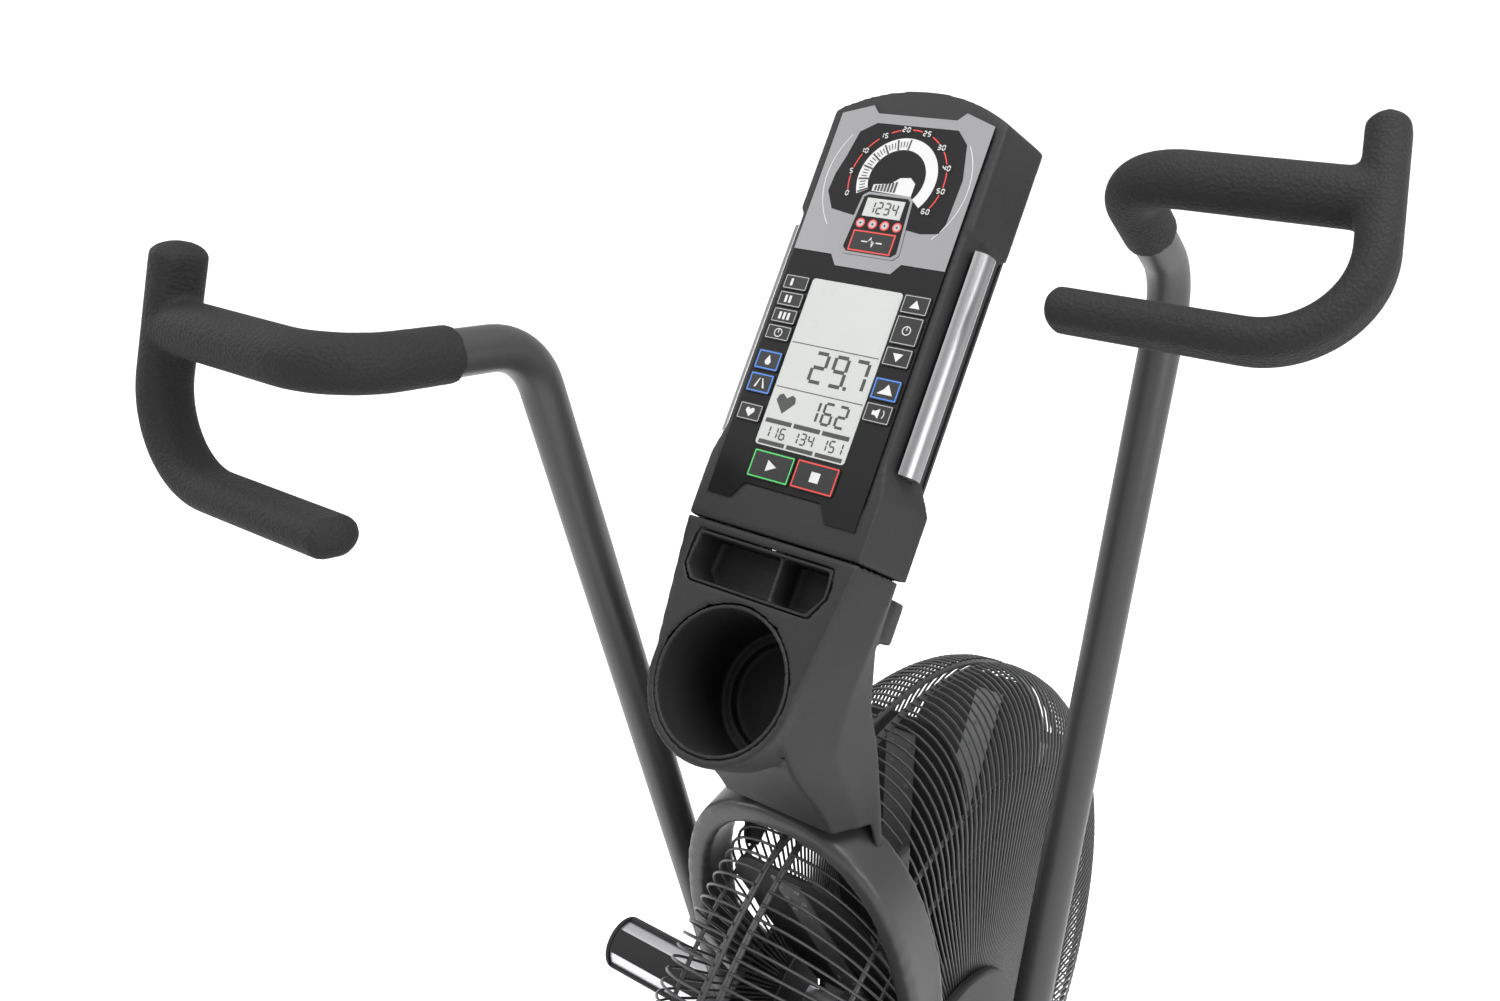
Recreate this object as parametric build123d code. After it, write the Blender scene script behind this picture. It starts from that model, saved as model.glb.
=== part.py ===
from build123d import *
import os
from math import atan2, cos, degrees, hypot, pi, radians, sin

os.makedirs("parts", exist_ok=True)

# An air bike: a fan wheel in a wire cage, a belt from the cranks, swinging arms and a raked console.
# Millimetres. +Z is up, +Y is ahead of the rider, +X is the rider's right, and z = 0 is the floor.
# The rest pose has the right arm pushed fully forward and the left arm pulled fully back.

# --- driving dimensions -------------------------------------------------------------------------
FAN_Y, FAN_Z = 264.5, 440.0               # fan axle
PIVOT_Y, PIVOT_Z = FAN_Y - 49, FAN_Z - 5  # arm pivot, on the same axis as the foot pegs
SWING = 27.7                              # full swing of each arm, degrees
CAGE_R, CAGE_HALF = 386.0, 78.0           # cage rim radius and half width
CAGE_WIRES, CAGE_WIRE_R = 48, 1.4
PLATE_IN, PLATE_OUT = 109.0, 115.0        # steel side plates that hold the axle and the pivots
LEG_IN = 95.0                             # inner face of the yoke and fork legs
YOKE_TILT, YOKE_BASE = 11.0, 99.6         # yoke plane: backward tilt, and distance behind the axle
YOKE_TOP_IN, YOKE_TOP_OUT, YOKE_SPRING = 368.0, 388.0, 190.0
CONSOLE_RAKE = 34.52                      # console face, degrees forward of vertical
CONSOLE_Y, CONSOLE_Z = FAN_Y - 170.4, FAN_Z + 670.8  # bottom centre of the main display
DISPLAY_W, DISPLAY_H = 74.8, 127.1
CUP_V, CUP_R, CUP_DEPTH = -166.0, 50.5, 98.0
ARM_R, FOAM_R = 15.9, 19.0
CRANK_Y, CRANK_Z = FAN_Y - 430, 285.0     # bottom bracket
CRANK_R, PIN_R, CRANK_ANGLE = 170.0, 59.85, 160.0
LEVER = 259.0                             # arm pivot to connecting rod
BEAM_TOP, BEAM_BOTTOM = 110.0, 55.0
REAR_Y, FRONT_Y = FAN_Y - 889, FAN_Y + 300  # stabiliser centres
SEAT_BASE_Y, SEAT_RAKE = FAN_Y - 612, 14.0
POST_R, BELT_R_BIG, BELT_R_SMALL = 19.05, 105.0, 30.0
ROD_IN, ROD_OUT = 117.0, 123.0            # connecting rods run in this gap beside the frame
CRANK_IN, CRANK_OUT = 126.0, 140.0        # outer crank arms

console = Plane(origin=(0, CONSOLE_Y, CONSOLE_Z), x_dir=(1, 0, 0),
                z_dir=(0, -cos(radians(CONSOLE_RAKE)), sin(radians(CONSOLE_RAKE))))
yoke = Plane(origin=(0, FAN_Y - YOKE_BASE, FAN_Z), x_dir=(1, 0, 0),
             z_dir=(0, -cos(radians(YOKE_TILT)), -sin(radians(YOKE_TILT))))
side = Plane.YZ                           # local x is +Y, local y is +Z, and it extrudes to +X


# --- small helpers ------------------------------------------------------------------------------
def save(shape, node):
    export_step(shape, f"parts/{node}.step")


def save_pair(shape, node):
    """Write a right-hand piece and its left-hand mirror image as one node."""
    save(Compound(children=list(shape.solids()) + list(mirrored(shape).solids())), node)


def on_console(shape):
    """Put a shape made in console coordinates (across, up the face, out of the face) in place."""
    return console.location * shape


def block(x0, x1, y0, y1, z0, z1):
    return Pos((x0 + x1) / 2, (y0 + y1) / 2, (z0 + z1) / 2) * Box(x1 - x0, y1 - y0, z1 - z0)


def shaft(x0, x1, y, z, r):
    """A round bar along X."""
    return Pos((x0 + x1) / 2, y, z) * Rot(0, 90, 0) * Cylinder(r, x1 - x0)


def side_plate(points, x0, x1):
    """A flat plate from an outline of (y, z) points."""
    outline = make_face(Polyline(*points, close=True))
    return Pos(x0, 0, 0) * extrude(side * outline, x1 - x0)


def bar(y0, z0, r0, y1, z1, r1, x0, x1):
    """A flat bar along two round ends of radius r0 and r1, from x0 to x1."""
    run = hypot(y1 - y0, z1 - z0)
    lean = atan2(z1 - z0, y1 - y0)
    tip = (r0 - r1) / run
    ny, nz = tip, (1 - tip * tip) ** 0.5
    edge = []
    for across in (1, -1):
        dy = cos(lean) * ny - sin(lean) * nz * across
        dz = sin(lean) * ny + cos(lean) * nz * across
        edge.append(((y0 + r0 * dy, z0 + r0 * dz), (y1 + r1 * dy, z1 + r1 * dz)))
    (a, b), (d, c) = edge
    web = side_plate([a, b, c, d], x0, x1)
    return web + shaft(x0, x1, y0, z0, r0) + shaft(x0, x1, y1, z1, r1)


def tube_along(path, r):
    return sweep(Plane(origin=path @ 0, z_dir=path % 0) * Circle(r), path=path)


def mirrored(shape):
    return mirror(shape, about=Plane.YZ)


def turned(shape, angle, y, z):
    """Turn a shape about an axis along +X through (y, z)."""
    return shape.rotate(Axis((0, y, z), (1, 0, 0)), angle)


# --- frame --------------------------------------------------------------------------------------
def main_beam():
    beam = block(-32, 32, REAR_Y, FAN_Y - 445, BEAM_BOTTOM, BEAM_TOP)
    hollow = block(-29, 29, REAR_Y - 1, FAN_Y - 448, BEAM_BOTTOM + 3, BEAM_TOP - 3)
    return beam - hollow - shaft(-40, 40, REAR_Y, 45, 24)


def cross_member():
    return block(-108, 108, FAN_Y - 445, FAN_Y - 405, BEAM_BOTTOM, BEAM_TOP)


def side_rail():
    rail = block(78, 108, FAN_Y - 405, FRONT_Y - 24, BEAM_BOTTOM, BEAM_TOP)
    return rail - block(81, 105, FAN_Y - 402, FRONT_Y - 27, BEAM_BOTTOM + 3, BEAM_TOP - 3)


def crank_tower():
    tower = side_plate([(CRANK_Y - 60, BEAM_TOP), (CRANK_Y + 5, BEAM_TOP), (CRANK_Y + 22, CRANK_Z),
                        (CRANK_Y - 22, CRANK_Z)], -28, 28)
    shell = shaft(-62, 62, CRANK_Y, CRANK_Z, 27)
    return tower + shell - shaft(-63, 63, CRANK_Y, CRANK_Z, 19)


def stabiliser(y, half):
    tube = shaft(-half, half, y, 45, 24)
    return tube - shaft(-half - 1, half + 1, y, 45, 21)


def stabiliser_saddle(y, half):
    """A plate that closes the gap between a stabiliser and the rails above it."""
    seat = block(-half, half, y - 24, y + 24, 45, BEAM_BOTTOM)
    top = block(-half, half, y - 24, y + 24, BEAM_BOTTOM, BEAM_TOP)
    return seat + top - shaft(-half - 1, half + 1, y, 45, 24)


def end_cap(x, y):
    cap = shaft(x, x + 16, y, 45, 29) + block(x - 34, x + 16, y - 22, y + 22, 0, 30)
    cap += shaft(x - 34, x, y, 45, 29)
    return cap - shaft(x - 35, x, y, 45, 24)


def fork_leg():
    """A lower leg, from the side rail up to the side plate."""
    return side_plate([(FAN_Y + 20, BEAM_TOP), (FAN_Y + 80, BEAM_TOP), (FAN_Y + 45, FAN_Z - 80),
                       (FAN_Y - 5, FAN_Z - 80)], LEG_IN, PLATE_IN)


def axle_plate():
    """A side plate: it joins the fork leg to the yoke leg and holds the axle and the arm pivot."""
    plate = side_plate([(FAN_Y + 20, BEAM_BOTTOM), (FAN_Y + 80, BEAM_BOTTOM), (FAN_Y + 45, FAN_Z - 60),
                        (FAN_Y + 40, FAN_Z + 20), (FAN_Y - 30, FAN_Z + 75), (FAN_Y - 95, FAN_Z + 75),
                        (FAN_Y - 95, FAN_Z - 20), (FAN_Y - 60, FAN_Z - 60), (FAN_Y - 5, FAN_Z - 80)],
                       PLATE_IN, PLATE_OUT)
    plate -= shaft(PLATE_IN - 1, PLATE_OUT + 1, FAN_Y, FAN_Z, 10)
    return plate - shaft(PLATE_IN - 1, PLATE_OUT + 1, PIVOT_Y, PIVOT_Z, 12)


def arch(half, top):
    """One edge of the yoke: a rounded arch from one leg over to the other, then closed below."""
    rise = top - YOKE_SPRING
    points = []
    for step in range(13):
        turn = pi * step / 12
        c, s = cos(turn), sin(turn)
        reach = half * abs(c) ** (1 / 1.3)
        points.append((-reach if c > 0 else reach, YOKE_SPRING + rise * s ** (1 / 1.3)))
    crown = Spline(*points, tangents=((0, 1), (0, -1)))
    return make_face(Wire([crown, Line(points[-1], points[0])]))


def frame_yoke():
    """The arch over the back of the cage, with two legs that run down to the side plates."""
    ring = arch(PLATE_OUT, YOKE_TOP_OUT) - arch(LEG_IN, YOKE_TOP_IN)
    hoop = yoke.location * (Pos(0, 0, -25) * extrude(ring, 45))
    hoop = fillet(hoop.edges().filter_by(GeomType.BSPLINE), 4)
    leg = side_plate([(FAN_Y - 157, FAN_Z + 188), (FAN_Y - 113, FAN_Z + 197), (FAN_Y - 30, FAN_Z + 75),
                      (FAN_Y - 95, FAN_Z + 75)], LEG_IN, PLATE_OUT)
    return hoop + leg + mirrored(leg)


def console_mast():
    """The flat steel post inside the shroud, from the yoke's crown to the console."""
    corners = [(-254, -166), (-112, -115), (-62, -70), (110, -70)]
    post = Part()
    for (up0, out0), (up1, out1) in zip(corners, corners[1:]):
        lean = degrees(atan2(out1 - out0, up1 - up0))
        length = hypot(up1 - up0, out1 - out0)
        post += Pos(0, (up0 + up1) / 2, (out0 + out1) / 2) * Rot(lean, 0, 0) * Box(50, length, 16)
    for up, out in corners[1:3]:
        post += Pos(0, up, out) * Rot(0, 90, 0) * Cylinder(8, 50)
    return on_console(post) - yoke.location * (Pos(0, 0, -30) * extrude(arch(LEG_IN, YOKE_TOP_IN), 60))


# --- cage ---------------------------------------------------------------------------------------
def cage_profile():
    """(x, r) points of the cage's side, from the rim over the shoulder and down to the hub cover."""
    points = [(7.0, CAGE_R)]
    for step in (1, 2, 3, 4, 5):
        turn = pi / 2 * step / 5
        x = 7 + (CAGE_HALF - 7) * sin(turn) ** (1 / 1.2)
        r = 262 + (CAGE_R - 262) * max(cos(turn), 0) ** (1 / 1.2)
        points.append((x, r))
    points += [(84.5, 150.0), (85.0, 90.0)]
    return points


def cage_ring(x, r, wire_r):
    return Pos(x, FAN_Y, FAN_Z) * Rot(0, 90, 0) * Torus(r, wire_r)


def fan_cage():
    """Half of the cage: wires from the rim to the hub cover, with rings inside them."""
    points = [(x, 0, r) for x, r in cage_profile()]
    shoulder = Spline(*points[:6], tangents=((1, 0, 0), (0, 0, -1)))
    path = shoulder + Line(points[5], points[6]) + Line(points[6], points[7])
    wire = tube_along(path, CAGE_WIRE_R)
    step = 360 / CAGE_WIRES
    at_fan = Pos(0, FAN_Y, FAN_Z)
    wires = [at_fan * Rot(step * (index + 0.5), 0, 0) * wire for index in range(CAGE_WIRES)]
    gap = CAGE_WIRE_R + 0.15
    rings = [cage_ring(7 - gap - 2.4, CAGE_R, 2.4), cage_ring(74.6 - gap - 1.6, 303, 1.6),
             cage_ring(77.6 - gap - 1.6, 254, 1.6), cage_ring(84.8 - gap - 1.6, 94, 1.6)]
    return Compound(children=wires + rings)


def hub_disc():
    """The round moulded cover at the middle of a cage half, on the arm pivot's axis."""
    cover = shaft(87.2, 94.6, PIVOT_Y, PIVOT_Z, 142)
    return fillet(cover.edges().group_by(Axis.X)[-1], 4)


def hub_cover():
    return hub_disc() - shaft(86, 96, FAN_Y, FAN_Z, 22)


# --- fan ----------------------------------------------------------------------------------------
BLADES = 12


def fan_hub():
    hub = shaft(-48, 48, FAN_Y, FAN_Z, 34) + shaft(-4, 4, FAN_Y, FAN_Z, 92)
    hub += shaft(48, 92, FAN_Y, FAN_Z, 20)
    return hub - shaft(-49, 93, FAN_Y, FAN_Z, 16)


def around_fan(shape, start=0.0):
    pieces = []
    for index in range(BLADES):
        pieces.append(turned(shape, start + 360 / BLADES * index, FAN_Y, FAN_Z))
    return pieces


def fan_blades():
    """Flat paddles, wide and square, with their outer corners cut back to follow the cage."""
    right = [(52, 96), (64, 190), (66, 310), (60, 334), (46, 358), (30, 372)]
    left = [(-across, out) for across, out in reversed(right)]
    paddle = extrude(Plane.XZ * make_face(Polyline(*right, *left, close=True)), 1.25, both=True)
    return Compound(children=around_fan(Pos(0, FAN_Y, FAN_Z) * paddle))


def blade_bracket():
    """A pressed strip along the middle of a paddle, out to its tip, with its rivet heads."""
    strip = Pos(0, FAN_Y - 2.4, FAN_Z) * block(-14, 14, -1, 1, 60, 356)
    strip = strip - shaft(-5, 5, FAN_Y, FAN_Z, 92.4) - shaft(-20, 20, FAN_Y, FAN_Z, 60)
    for r in (112, 132, 152, 300, 322, 344):
        for x in (-8, 8):
            strip += Pos(x, FAN_Y - 4.0, FAN_Z + r) * Rot(90, 0, 0) * Cylinder(2.6, 2.0)
    return strip


# --- drive --------------------------------------------------------------------------------------
def pulley(y, z, r, bore):
    wheel = shaft(93, 103, y, z, r) + shaft(92, 93, y, z, r + 2.5) + shaft(103, 104, y, z, r + 2.5)
    return wheel - shaft(91, 105, y, z, bore)


def belt_loop(grow):
    """The belt's side shape: two pulleys and the straight runs between them."""
    return bar(CRANK_Y, CRANK_Z, BELT_R_BIG + grow, FAN_Y, FAN_Z, BELT_R_SMALL + grow, 94, 102)


def belt_guard():
    """A two-walled case around the belt, open round both shafts, with the right hub disc on it."""
    case = bar(CRANK_Y, CRANK_Z, 122, FAN_Y, FAN_Z, 46, 87.2, 108) + hub_disc()
    case -= bar(CRANK_Y, CRANK_Z, 119.5, FAN_Y, FAN_Z, 43.5, 90.6, 106.3)
    case -= shaft(86, 109, CRANK_Y, CRANK_Z, 22)
    return case - shaft(86, 109, FAN_Y, FAN_Z, 22)


def crank_spindle():
    spindle = shaft(-108.5, 108.5, CRANK_Y, CRANK_Z, 12.5)
    return spindle + shaft(-61, -50, CRANK_Y, CRANK_Z, 15) + shaft(50, 61, CRANK_Y, CRANK_Z, 15)


def crank_bearings():
    races = [shaft(x, x + 11, CRANK_Y, CRANK_Z, 18.95) - shaft(x - 1, x + 12, CRANK_Y, CRANK_Z, 15.05)
             for x in (-61, 50)]
    return Compound(children=races)


def at_crank(r, angle):
    return CRANK_Y + r * cos(radians(angle)), CRANK_Z + r * sin(radians(angle))


def crank_web(angle):
    """The inner half of a crank, from the spindle out to the connecting rod's pin."""
    y, z = at_crank(PIN_R, angle)
    return bar(CRANK_Y, CRANK_Z, 20, y, z, 16, 108.5, 115.5) + shaft(115.5, 116.6, y, z, 8)


def crank_arm(angle):
    """The outer half of a crank, from the rod's pin out to the pedal."""
    py, pz = at_crank(PIN_R, angle)
    y, z = at_crank(CRANK_R, angle)
    arm = bar(py, pz, 17, y, z, 15, CRANK_IN, CRANK_OUT) + shaft(123.4, CRANK_IN, py, pz, 8)
    return arm + shaft(CRANK_OUT, 232, y, z, 7)


def pedal(angle):
    """A broad platform pedal with a rim at each end, level at rest."""
    y, z = at_crank(CRANK_R, angle)
    body = block(143, 233, y - 48, y + 48, z - 13, z + 13)
    body = fillet(body.edges().filter_by(Axis.Z), 14)
    return body - shaft(142, 234, y, z, 7.06)


# --- swinging arms ------------------------------------------------------------------------------
ARM_FOOT = (151.7, PIVOT_Y, PIVOT_Z)
ARM_KNEE = (155.1, FAN_Y + 103.5, FAN_Z + 766.0)
ARM_TOP = (153.3, FAN_Y - 28.2, FAN_Z + 860.6)
ARM_END = (317.7, FAN_Y - 28.2, FAN_Z + 860.6)
LOOP_TOP = (308.1, FAN_Y + 1.5, FAN_Z + 898.6)
LOOP_CORNER = (337.9, FAN_Y - 90.6, FAN_Z + 780.7)
LOOP_END = (147.0, FAN_Y - 90.6, FAN_Z + 780.7)
LOOP_TUBE_R = 8.0
FOAM_START = 0.44                          # how far along the knee-to-top run the foam begins


def upper_path():
    return FilletPolyline(ARM_FOOT, ARM_KNEE, ARM_TOP, ARM_END, radius=[55, 46])


def foam_path():
    knee, top = Vector(*ARM_KNEE), Vector(*ARM_TOP)
    start = knee + (top - knee) * FOAM_START
    return FilletPolyline(start, ARM_TOP, ARM_END, radius=46)


def loop_path():
    return FilletPolyline(LOOP_TOP, LOOP_CORNER, LOOP_END, radius=58)


def loop_section(path, wide, deep):
    """A flat oval across the loop: wide in the loop's own plane, deep square to it."""
    run = path % 0
    across = Vector(1, 0, 0) - run * run.X
    plane = Plane(origin=path @ 0, x_dir=across, z_dir=run)
    return plane * SlotOverall(deep, wide, rotation=90)


def arm():
    """The steel of the right arm: pivot hub, bent tube, hand loop core and lower lever."""
    tube = tube_along(upper_path(), ARM_R)
    core = tube_along(loop_path(), LOOP_TUBE_R)
    hub = shaft(118, 172, PIVOT_Y, PIVOT_Z, 27)
    lever_y = PIVOT_Y - LEVER * sin(radians(SWING / 2))
    lever_z = PIVOT_Z - LEVER * cos(radians(SWING / 2))
    lever = bar(PIVOT_Y, PIVOT_Z, 26, lever_y, lever_z, 16, 124, 132)
    pin = shaft(117, 124, lever_y, lever_z, 6)
    return tube + core + hub + lever + pin - shaft(110, 180, PIVOT_Y, PIVOT_Z, 13.05)


def top_grip():
    foam = tube_along(foam_path(), FOAM_R)
    loop = sweep(loop_section(loop_path(), 27, 39), path=loop_path())
    return foam - tube_along(upper_path(), ARM_R + 0.15) - loop


def loop_grip():
    path = loop_path()
    foam = sweep(loop_section(path, 26, 38), path=path)
    foam -= tube_along(path, LOOP_TUBE_R + 0.15)
    return foam - tube_along(upper_path(), ARM_R + 0.15)


def rod():
    """The right connecting rod, from the arm's lever back to the crank pin."""
    lever_y = PIVOT_Y - LEVER * sin(radians(SWING / 2))
    lever_z = PIVOT_Z - LEVER * cos(radians(SWING / 2))
    y, z = at_crank(PIN_R, CRANK_ANGLE)
    link = bar(lever_y, lever_z, 15, y, z, 17, ROD_IN, ROD_OUT)
    return link - shaft(116, 124, lever_y, lever_z, 6.05) - shaft(116, 124, y, z, 9)


def left_rod():
    lever_y = PIVOT_Y + LEVER * sin(radians(SWING / 2))
    lever_z = PIVOT_Z - LEVER * cos(radians(SWING / 2))
    y, z = at_crank(PIN_R, CRANK_ANGLE + 180)
    link = bar(lever_y, lever_z, 15, y, z, 17, -ROD_OUT, -ROD_IN)
    return link - shaft(-124, -116, lever_y, lever_z, 6.05) - shaft(-124, -116, y, z, 9)


def pivot_stub():
    """The fixed shaft that an arm swings on and a foot peg ends."""
    return shaft(PLATE_IN, PLATE_OUT, PIVOT_Y, PIVOT_Z, 12) + shaft(PLATE_OUT, 174, PIVOT_Y, PIVOT_Z, 13)


def foot_peg():
    peg = shaft(174, 298, PIVOT_Y, PIVOT_Z, 26)
    return peg + shaft(174, 178, PIVOT_Y, PIVOT_Z, 29)


def peg_cap():
    cap = shaft(298, 304, PIVOT_Y, PIVOT_Z, 29)
    return fillet(cap.edges().group_by(Axis.X)[-1], 4)


def peg_pads():
    """Rubber tread strips let into the peg, with bare metal showing between them."""
    ring = shaft(179, 297, PIVOT_Y, PIVOT_Z, 29) - shaft(178, 298, PIVOT_Y, PIVOT_Z, 26.1)
    wedge = block(170, 300, PIVOT_Y - 12.5, PIVOT_Y + 12.5, PIVOT_Z + 14, PIVOT_Z + 34)
    pads = [ring & turned(wedge, 45 + 90 * index, PIVOT_Y, PIVOT_Z) for index in range(4)]
    return Compound(children=pads)


# --- console ------------------------------------------------------------------------------------
FACE_T = 3.0
HOUSING_BACK = -50.0
SEAM_V = -61.0


def housing_outline(half, low, high, bulge, depth):
    left, right = (-half, high), (half, high)
    top = ThreePointArc(left, (0, high + bulge), right)
    sides = Polyline(right, (half, low), (-half, low), left)
    return Pos(0, 0, depth) * make_face(Wire([top] + list(sides.edges())))


def housing_layer(back_half, front_half, low, high, bulge):
    return loft([housing_outline(back_half, low, high, bulge, HOUSING_BACK),
                 housing_outline(front_half, low, high - 3, bulge - 2, 0)], ruled=True)


def console_housing():
    """The front moulding: a raked shell with proud shoulders at its top and foot."""
    shell = housing_layer(75, 67.5, SEAM_V, 262, 22)
    shell += housing_layer(80, 70.5, 178, 262, 22)
    foot = Polyline((-87, SEAM_V), (87, SEAM_V), (87, -12), (75, 8), (-75, 8), (-87, -12), close=True)
    foot_front = Polyline((-72, SEAM_V), (72, SEAM_V), (72, -12), (67.5, 8), (-67.5, 8), (-72, -12),
                          close=True)
    shell += loft([Pos(0, 0, HOUSING_BACK) * make_face(foot), make_face(foot_front)], ruled=True)
    shell -= housing_layer(71, 63.5, SEAM_V + 3, 258, 20).moved(Location((0, 0, -FACE_T)))
    window = block(-60.8, 60.8, -27, 250, -20, 1)
    return shell - window


def console_back():
    """The rear moulding, with a spine that takes the mast."""
    lid = Pos(0, 0, -53.2) * extrude(housing_outline(75, SEAM_V, 262, 22, 0), 3)
    spine = block(-40, 40, SEAM_V, 150, -84, -53.2)
    spine = fillet(spine.edges().filter_by(Axis.Y).group_by(Axis.Z)[0], 12)
    slot = block(-26, 26, SEAM_V - 1, 115, -81.5, -49)
    return lid + spine - slot


def side_trim(sign):
    """A bright half-round strip let into the console's flank between its shoulders."""
    strip = Pos(0, 88, 0) * Rot(90, 0, 0) * Cylinder(12, 164)
    strip = Pos(sign * 70.8, 0, -23) * strip
    return strip & block(*sorted((sign * 72.4, sign * 90)), 0, 178, -45, 0) - flank_body()


def flank_body():
    return housing_layer(75.2, 67.7, SEAM_V, 262, 22)


# key name: (across, up, width, height)
KEYS = {
    "key_interval_1": (-49.6, 121.0, 20.6, 11.4), "key_interval_2": (-49.6, 108.0, 20.6, 11.4),
    "key_interval_3": (-49.6, 95.0, 20.6, 11.4), "key_time": (-49.6, 82.0, 20.6, 11.4),
    "key_energy": (-49.6, 60.5, 20.6, 15.0), "key_distance": (-49.6, 43.0, 20.6, 15.0),
    "key_heart": (-49.6, 20.8, 20.0, 13.0), "key_up": (49.8, 120.0, 21.0, 14.0),
    "key_enter": (49.8, 101.0, 21.0, 21.0), "key_down": (49.8, 81.5, 21.0, 14.0),
    "key_work": (49.8, 57.8, 21.0, 16.0), "key_sound": (49.8, 40.5, 21.0, 14.0),
    "key_start": (-16.9, -13.8, 35.0, 21.0), "key_stop": (19.9, -13.4, 35.0, 21.0),
    "key_rate": (-0.6, 159.5, 36.0, 17.0),
}
KEY_TOP, KEY_BOTTOM = 2.6, -1.4


def rounded_slab(across, up, width, height, low, high, radius):
    slab = Pos(across, up, low) * extrude(RectangleRounded(width, height, radius), high - low)
    return slab


def key(name):
    across, up, width, height = KEYS[name]
    return on_console(rounded_slab(across, up, width, height, KEY_BOTTOM, KEY_TOP, 2))


def panel_outline():
    """The printed panel: square shoulders, with a shallow notch at its top and foot."""
    half, low, high = 62.2, -42.0, 263.5
    points = [(-half, low), (-42, low), (-34, low + 13), (30, low + 13), (38, low), (half, low),
              (half, high - 8), (38, high), (32, high - 6), (-32, high - 6), (-38, high), (-half, high - 8)]
    return make_face(Polyline(*points, close=True))


def face_panel():
    """The black printed panel, with an opening for the display and one for each key."""
    panel = extrude(panel_outline(), 1.2)
    panel -= rounded_slab(0, DISPLAY_H / 2, DISPLAY_W + 0.6, DISPLAY_H + 0.6, -1, 3, 3)
    for across, up, width, height in KEYS.values():
        panel -= rounded_slab(across, up, width + 0.6, height + 0.6, -1, 3, 2.2)
    return on_console(panel)


def gauge_plate():
    """The bright plate round the dial, above the keys."""
    plate = Pos(0, 0, 1.2) * extrude(panel_outline() & make_face(
        Polyline((-70, 147), (-30, 147), (-24, 139), (22, 139), (28, 147), (70, 147), (70, 300), (-70, 300),
                 close=True)), 0.6)
    across, up, width, height = KEYS["key_rate"]
    plate -= rounded_slab(across, up, width + 0.6, height + 0.6, -1, 3, 2.2)
    return on_console(plate)


def main_display():
    return on_console(rounded_slab(0, DISPLAY_H / 2, DISPLAY_W, DISPLAY_H, -4.4, 1.4, 2.6))


def circuit_board():
    board = block(-56, 56, -34, 248, -6.0, -4.4)
    for across in (-50, 50):
        for up in (-28, 240):
            board -= Pos(across, up, -5) * Cylinder(1.8, 4)
    return on_console(board)


# --- shroud, cup and tray -----------------------------------------------------------------------
# each section: height up the face, then (half width, out of the face) from the front edge round to the back
SHROUD_SECTIONS = [
    (SEAM_V - 0.6, (72, 0), (84, -42), (74, -62), (46, -90)),
    (-110, (66, 0), (78, -48), (71, -70), (40, -128)),
    (-150, (61, 0), (72, -56), (69, -98), (46, -146)),
    (-190, (56, -10), (68, -70), (70, -146), (54, -164)),
]


def shroud_section(inset, up, *corners):
    right = []
    for half, out in corners:
        step = -inset if (half, out) == corners[0] else inset if (half, out) == corners[-1] else 0
        right.append((half - inset, out + step))
    left = [(-half, out) for half, out in reversed(right)]
    flat = Plane(origin=(0, up, 0), x_dir=(1, 0, 0), z_dir=(0, -1, 0))
    return flat * make_face(Polyline(*right, *left, close=True))


def shroud_body(inset):
    return loft([shroud_section(inset, *row) for row in SHROUD_SECTIONS], ruled=True)


def neck_body(inset):
    """From the foot of the shroud down to the yoke's crown, where it is wider than it is deep."""
    top = on_console(shroud_section(inset, *SHROUD_SECTIONS[-1]))
    right = [(50, -210), (62, -190), (73, -150), (66, -134)]
    right = [(x - inset, FAN_Y + y + (inset if y == -210 else -inset if y == -134 else 0)) for x, y in right]
    left = [(-x, y) for x, y in reversed(right)]
    foot = Plane(origin=(0, 0, FAN_Z + 382)) * make_face(Polyline(*right, *left, close=True))
    return loft([top, foot], ruled=True)


def toe():
    """The lip beside the cage, in front of the yoke."""
    lip = side_plate([(FAN_Y - 138, FAN_Z + 384), (FAN_Y - 110, FAN_Z + 384), (FAN_Y - 111, FAN_Z + 336),
                      (FAN_Y - 122, FAN_Z + 325), (FAN_Y - 137, FAN_Z + 336)], 67, 74)
    return lip


def cup_barrel(r, top, bottom):
    return Pos(0, CUP_V, (top + bottom) / 2) * Cylinder(r, top - bottom)


def tray_outline(grow):
    return Polyline((-56 - grow, -72 + grow), (54 + grow, -72 + grow), (55 + grow, -90), (46 + grow, -104 - grow),
                    (-50 - grow, -104 - grow), (-58 - grow, -96), close=True)


def shroud():
    """The moulded cover round the mast, with the mouths of the cup and of the tray."""
    cup_rim = on_console(cup_barrel(60, 0, -40))
    body = on_console(shroud_body(0)) + neck_body(0) + cup_rim + toe() + mirrored(toe()) + side_hook()
    body = body - on_console(shroud_body(2.6)) - neck_body(2.6)
    body -= on_console(cup_barrel(CUP_R + 3.1, 1, -CUP_DEPTH - 4))
    body -= on_console(Pos(0, 0, -40) * extrude(make_face(tray_outline(2.6)), 42))
    crown = yoke.location * (Pos(0, 0, -26) * extrude(arch(PLATE_OUT + 0.6, YOKE_TOP_OUT + 0.6), 47))
    return body - crown


def bottle_cup():
    cup = cup_barrel(CUP_R + 3, 0, -CUP_DEPTH - 3) - cup_barrel(CUP_R, 1, -CUP_DEPTH)
    step = cup_barrel(CUP_R, -CUP_DEPTH + 8, -CUP_DEPTH) - cup_barrel(42, 1, -CUP_DEPTH)
    return on_console(cup + step)


def phone_tray():
    tray = Pos(0, 0, -36) * extrude(make_face(tray_outline(2.4)), 36)
    pocket = Pos(0, 0, -33.6) * extrude(make_face(tray_outline(0)), 35)
    divider = block(11, 13.5, -103, -73, -33.6, -6)
    return on_console(tray - pocket + divider)


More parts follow.
